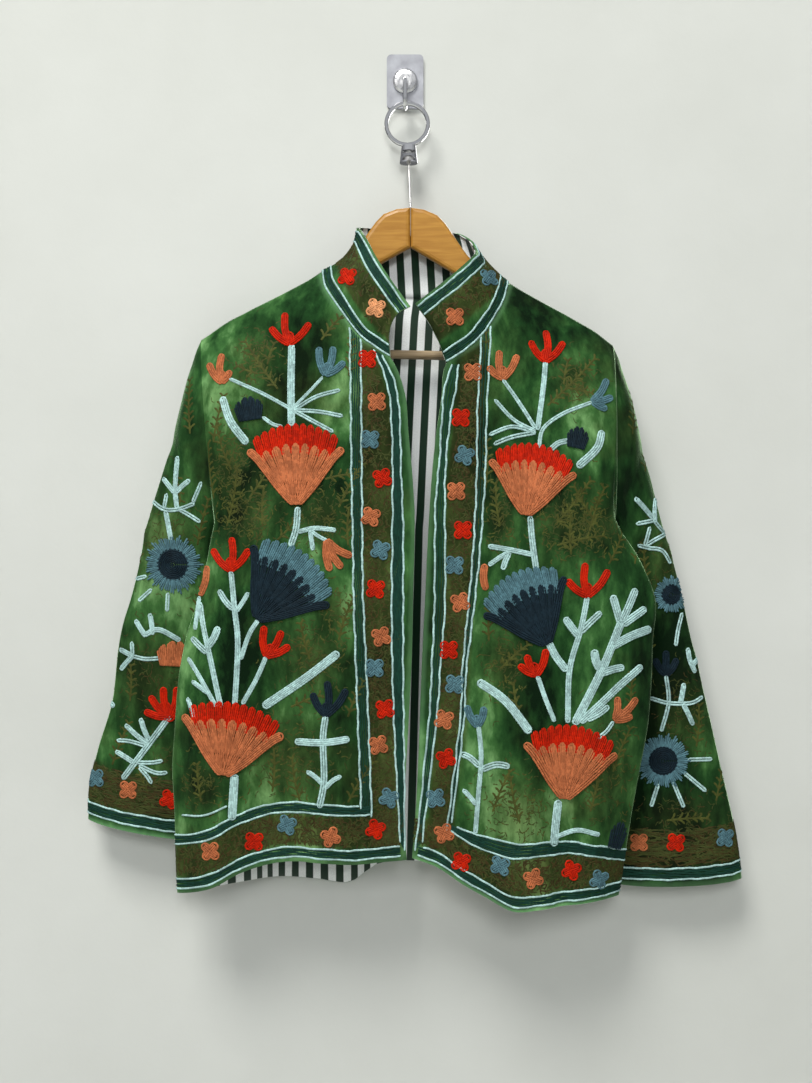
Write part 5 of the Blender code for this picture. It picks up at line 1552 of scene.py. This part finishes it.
def lining_material():
    """Cotton with dark green and white stripes down the cloth."""
    made, tree, shader, _, flat = new_material("striped_cotton")
    parts = node(tree, "SeparateXYZ", {"Vector": flat}).outputs
    across = maths(tree, "MULTIPLY_ADD", parts["Y"], STRIPE_LEAN, parts["X"])
    count = maths(tree, "DIVIDE", maths(tree, "ADD", across, STRIPE_SHIFT), STRIPE_REPEAT)
    white, green = srgb(236, 240, 238), srgb(16, 46, 28)
    share = maths(tree, "FRACT", count)
    stripes = ramp(tree, share, (0.0, white), (0.03, green), (0.50, green), (0.53, white))
    shade = ramp(tree, noise(tree, flat, 900.0, 3.0), (0.3, (0.80, 0.80, 0.80)), (0.7, (1.0, 1.0, 1.0)))
    colour = mix(tree, 1.0, stripes, shade, "MULTIPLY")
    feed(tree, shader, {"Base Color": colour, "Roughness": 0.8, "Sheen Weight": 0.15})
    threads = node(tree, "TexWave", {"Vector": flat, "Scale": 320.0}, bands_direction="Y")
    bump(tree, shader, threads.outputs["Fac"], 0.0002, 0.4)
    return made


THREADS = {
    "mint": (152, 182, 179), "teal": (18, 50, 40), "red": (166, 27, 3), "peach": (160, 92, 57),
    "light": (200, 140, 96), "steel": (72, 104, 112), "navy": (18, 32, 40), "olive": (62, 66, 28),
    "moss": (54, 60, 28), "brown": (54, 46, 22),
}
PLAIN_COLOURS = ("olive", "moss", "brown", "teal")
BORDER_COLOURS = ("moss", "brown", "moss", "brown", "moss")


def thread_material(name, colour):
    """Cotton thread: each stitch a little lighter or darker, with a soft shine."""
    made, tree, shader, place, flat = new_material("thread_" + name)
    stitch = maths(tree, "FLOOR", node(tree, "SeparateXYZ", {"Vector": flat}).outputs["X"])
    chance = node(tree, "TexWhiteNoise", {"W": stitch}, noise_dimensions="1D").outputs["Value"]
    both = maths(tree, "MULTIPLY_ADD", chance, 0.50, noise(tree, place, 60.0, 3.0))
    base = np.array(srgb(*colour))
    toned = ramp(tree, both, (0.35, base * 0.68), (0.75, base), (1.0, np.minimum(base * 1.3, 1)))
    feed(tree, shader, {"Base Color": toned, "Roughness": 0.66, "Specular IOR Level": 0.12})
    bump(tree, shader, noise(tree, place, 2600.0, 2.0), 0.0003, 0.5)
    return made


def wood_material(name, dark, light, gloss):
    """Varnished wood with its grain along the arm."""
    made, tree, shader, place, _ = new_material(name)
    long = node(tree, "Mapping", {"Vector": place, "Scale": (6.0, 60.0, 60.0)}).outputs["Vector"]
    grain = noise(tree, long, 4.0, 8.0, Distortion=0.6)
    colour = ramp(tree, grain, (0.35, dark), (0.65, light))
    feed(tree, shader, {"Base Color": colour, "Roughness": 0.42, "Coat Weight": gloss, "Coat Roughness": 0.2})
    bump(tree, shader, grain, 0.0003, 0.3)
    return made


def metal_material(name, colour, roughness):
    """Plated metal with faint smears."""
    made, tree, shader, place, _ = new_material(name)
    smear = noise(tree, place, 260.0, 4.0)
    tone = ramp(tree, smear, (0.3, (roughness * 0.7,) * 3), (0.7, (roughness * 1.5,) * 3))
    feed(tree, shader, {"Roughness": tone, "Base Color": (*colour, 1), "Metallic": 1.0})
    bump(tree, shader, smear, 0.00004, 0.2)
    return made


def plastic_material():
    """Pale translucent plastic, a little cloudy."""
    made, tree, shader, place, _ = new_material("cloudy_plastic")
    cloud = noise(tree, place, 70.0, 3.0)
    colour = ramp(tree, cloud, (0.35, srgb(150, 151, 157)), (0.7, srgb(174, 176, 182)))
    feed(tree, shader, {"Base Color": colour, "Roughness": 0.22, "Coat Weight": 0.4})
    bump(tree, shader, cloud, 0.0001, 0.2)
    return made


def plaster_material(name, one_sided):
    """A pale painted wall or floor. A one-sided wall shows only from its front."""
    made, tree, shader, place, _ = new_material(name)
    cloud = noise(tree, place, 1.6, 5.0, Roughness=0.6)
    colour = ramp(tree, cloud, (0.3, srgb(185, 187, 181)), (0.7, srgb(197, 199, 194)))
    feed(tree, shader, {"Base Color": colour, "Roughness": 0.9})
    bump(tree, shader, noise(tree, place, 90.0, 6.0), 0.0008, 0.25)
    if one_sided:
        back = node(tree, "NewGeometry").outputs["Backfacing"]
        clear = node(tree, "BsdfTransparent").outputs[0]
        shown = node(tree, "MixShader", {0: back, 1: shader.outputs[0], 2: clear}).outputs[0]
        feed(tree, tree.nodes["Material Output"], {"Surface": shown})
    return made


def dress_hardware():
    """Gives the hanger, hook, ring and plate their finishes."""
    wood = wood_material("honey_wood", srgb(156, 108, 36), srgb(174, 126, 50), 0.2)
    bar = wood_material("bar_grain", srgb(128, 108, 78), srgb(164, 144, 112), 0.1)
    chrome = metal_material("bright_chrome", (0.94, 0.94, 0.95), 0.09)
    satin = metal_material("satin_chrome", (0.94, 0.94, 0.95), 0.30)
    steel = metal_material("plain_steel", (0.70, 0.69, 0.67), 0.34)
    finishes = {
        "hanger_left": wood, "hanger_right": wood, "trouser_bar": bar, "pin": steel, "ring": chrome,
        "wall_hook": chrome, "hook_boss": satin, "wall_plate": plastic_material(),
    }
    for name, finish in finishes.items():
        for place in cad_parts[name].material_slots:
            place.link = "OBJECT"
            place.material = finish


def declare(name, going_with):
    """Hides the CAD part that a piece of cloth stands for."""
    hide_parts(name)


def add_jacket():
    """Every piece of cloth with its stitching."""
    velvet = velvet_material()
    lining = lining_material()
    threads = {name: thread_material(name, colour) for name, colour in THREADS.items()}
    forms = make_forms()
    for side, seed in (("left", 11), ("right", 12)):
        sew_front(forms["front_" + side], seed)
        sew_sleeve(forms["sleeve_" + side], SIDES[side])
    sew_back(forms["back_panel"])
    sew_collar(forms["collar"])
    for name, form in forms.items():
        backed = name in ("back_panel", "collar")
        depth = SHELL if backed else CLOTH
        finishes = [velvet] if backed else [velvet, lining]
        shell = add_shell(name + "_velvet", form, 0.0, depth, finishes, velvet_marks(form, forms))
        declare(name, [add_stitching(form, threads)])
    for name, outside in (("lining_back", "back_panel"), ("lining_collar", "collar")):
        shell = add_shell(name + "_cotton", coarser(forms[outside]), LINING_START, CLOTH, [lining])
        declare(name, [])


WALL_Y = 0.0008
WALL_TOP = 2.5
FLOOR_Z = -1.75


def add_plane(name, corners, finish):
    mesh = bpy.data.meshes.new(name)
    mesh.from_pydata(corners, [], [(0, 1, 2, 3)])
    mesh.materials.append(finish)
    made = new_object(name, mesh)
    return made


def add_room():
    """A pale wall behind the jacket, seen only from its front, and a pale floor."""
    upright = [(-4, WALL_Y, FLOOR_Z), (4, WALL_Y, FLOOR_Z), (4, WALL_Y, WALL_TOP), (-4, WALL_Y, WALL_TOP)]
    level = [(-6, -6, FLOOR_Z), (6, -6, FLOOR_Z), (6, 6, FLOOR_Z), (-6, 6, FLOOR_Z)]
    wall = add_plane("stage_wall", upright, plaster_material("painted_wall", True))
    wall.visible_diffuse = False
    wall.visible_glossy = False
    wall.visible_transmission = False
    wall.visible_shadow = False
    add_plane("stage_floor", level, plaster_material("pale_floor", False))


def add_light(name, place, size, power, tint):
    data = bpy.data.lights.new(name, "AREA")
    data.shape = "SQUARE"
    data.size = size
    data.energy = power
    data.color = tint
    made = new_object(name, data)
    made.location = place
    made.rotation_euler = (Vector((0, -0.05, -0.5)) - Vector(place)).to_track_quat("-Z", "Y").to_euler()
    return made


def add_lights():
    """A broad light from above and the left, one from in front, one behind, and a dim room."""
    add_light("key_light", (-1.2, -2.7, 3.4), 1.8, 250, (1.0, 0.99, 0.96))
    fill = add_light("fill_light", (0.10, -3.4, 0.5), 0.8, 44, (0.98, 0.99, 1.0))
    fill.visible_glossy = False
    add_light("back_light", (0.6, 2.6, 0.6), 1.8, 46, (1.0, 0.99, 0.97))
    world = bpy.data.worlds.new("soft_room")
    world.use_nodes = True
    tree = world.node_tree
    way = node(tree, "SeparateXYZ", {"Vector": node(tree, "TexCoord").outputs["Generated"]}).outputs
    before = spread(tree, way["Y"], -0.6, 0.3, 0.25, 0.11)
    above = spread(tree, way["Z"], -0.3, 0.5, 0.8, 1.7)
    strength = maths(tree, "MULTIPLY", before, above)
    feed(tree, tree.nodes["Background"], {"Color": (0.93, 0.96, 1.0, 1), "Strength": strength})
    bpy.context.scene.world = world


# The photograph's camera: level, square to the wall and 1.6 m from it
CAMERA_PLACE = (0.001, -1.6, -0.516)
METRES_PER_PIXEL_AT_WALL = 0.0011237
PHOTO_HEIGHT = 1083
SENSOR = 36.0


def add_camera():
    data = bpy.data.cameras.new("photo_camera")
    half_slope = PHOTO_HEIGHT * METRES_PER_PIXEL_AT_WALL / 2 / -CAMERA_PLACE[1]
    data.sensor_width = SENSOR
    data.sensor_fit = "AUTO"
    data.lens = SENSOR / 2 / half_slope
    made = new_object("photo_camera", data)
    made.location = CAMERA_PLACE
    made.rotation_euler = (math.pi / 2, 0, 0)
    bpy.context.scene.camera = made


bpy.context.scene.view_settings.view_transform = "Standard"
add_camera()
add_lights()
add_room()
dress_hardware()
add_jacket()
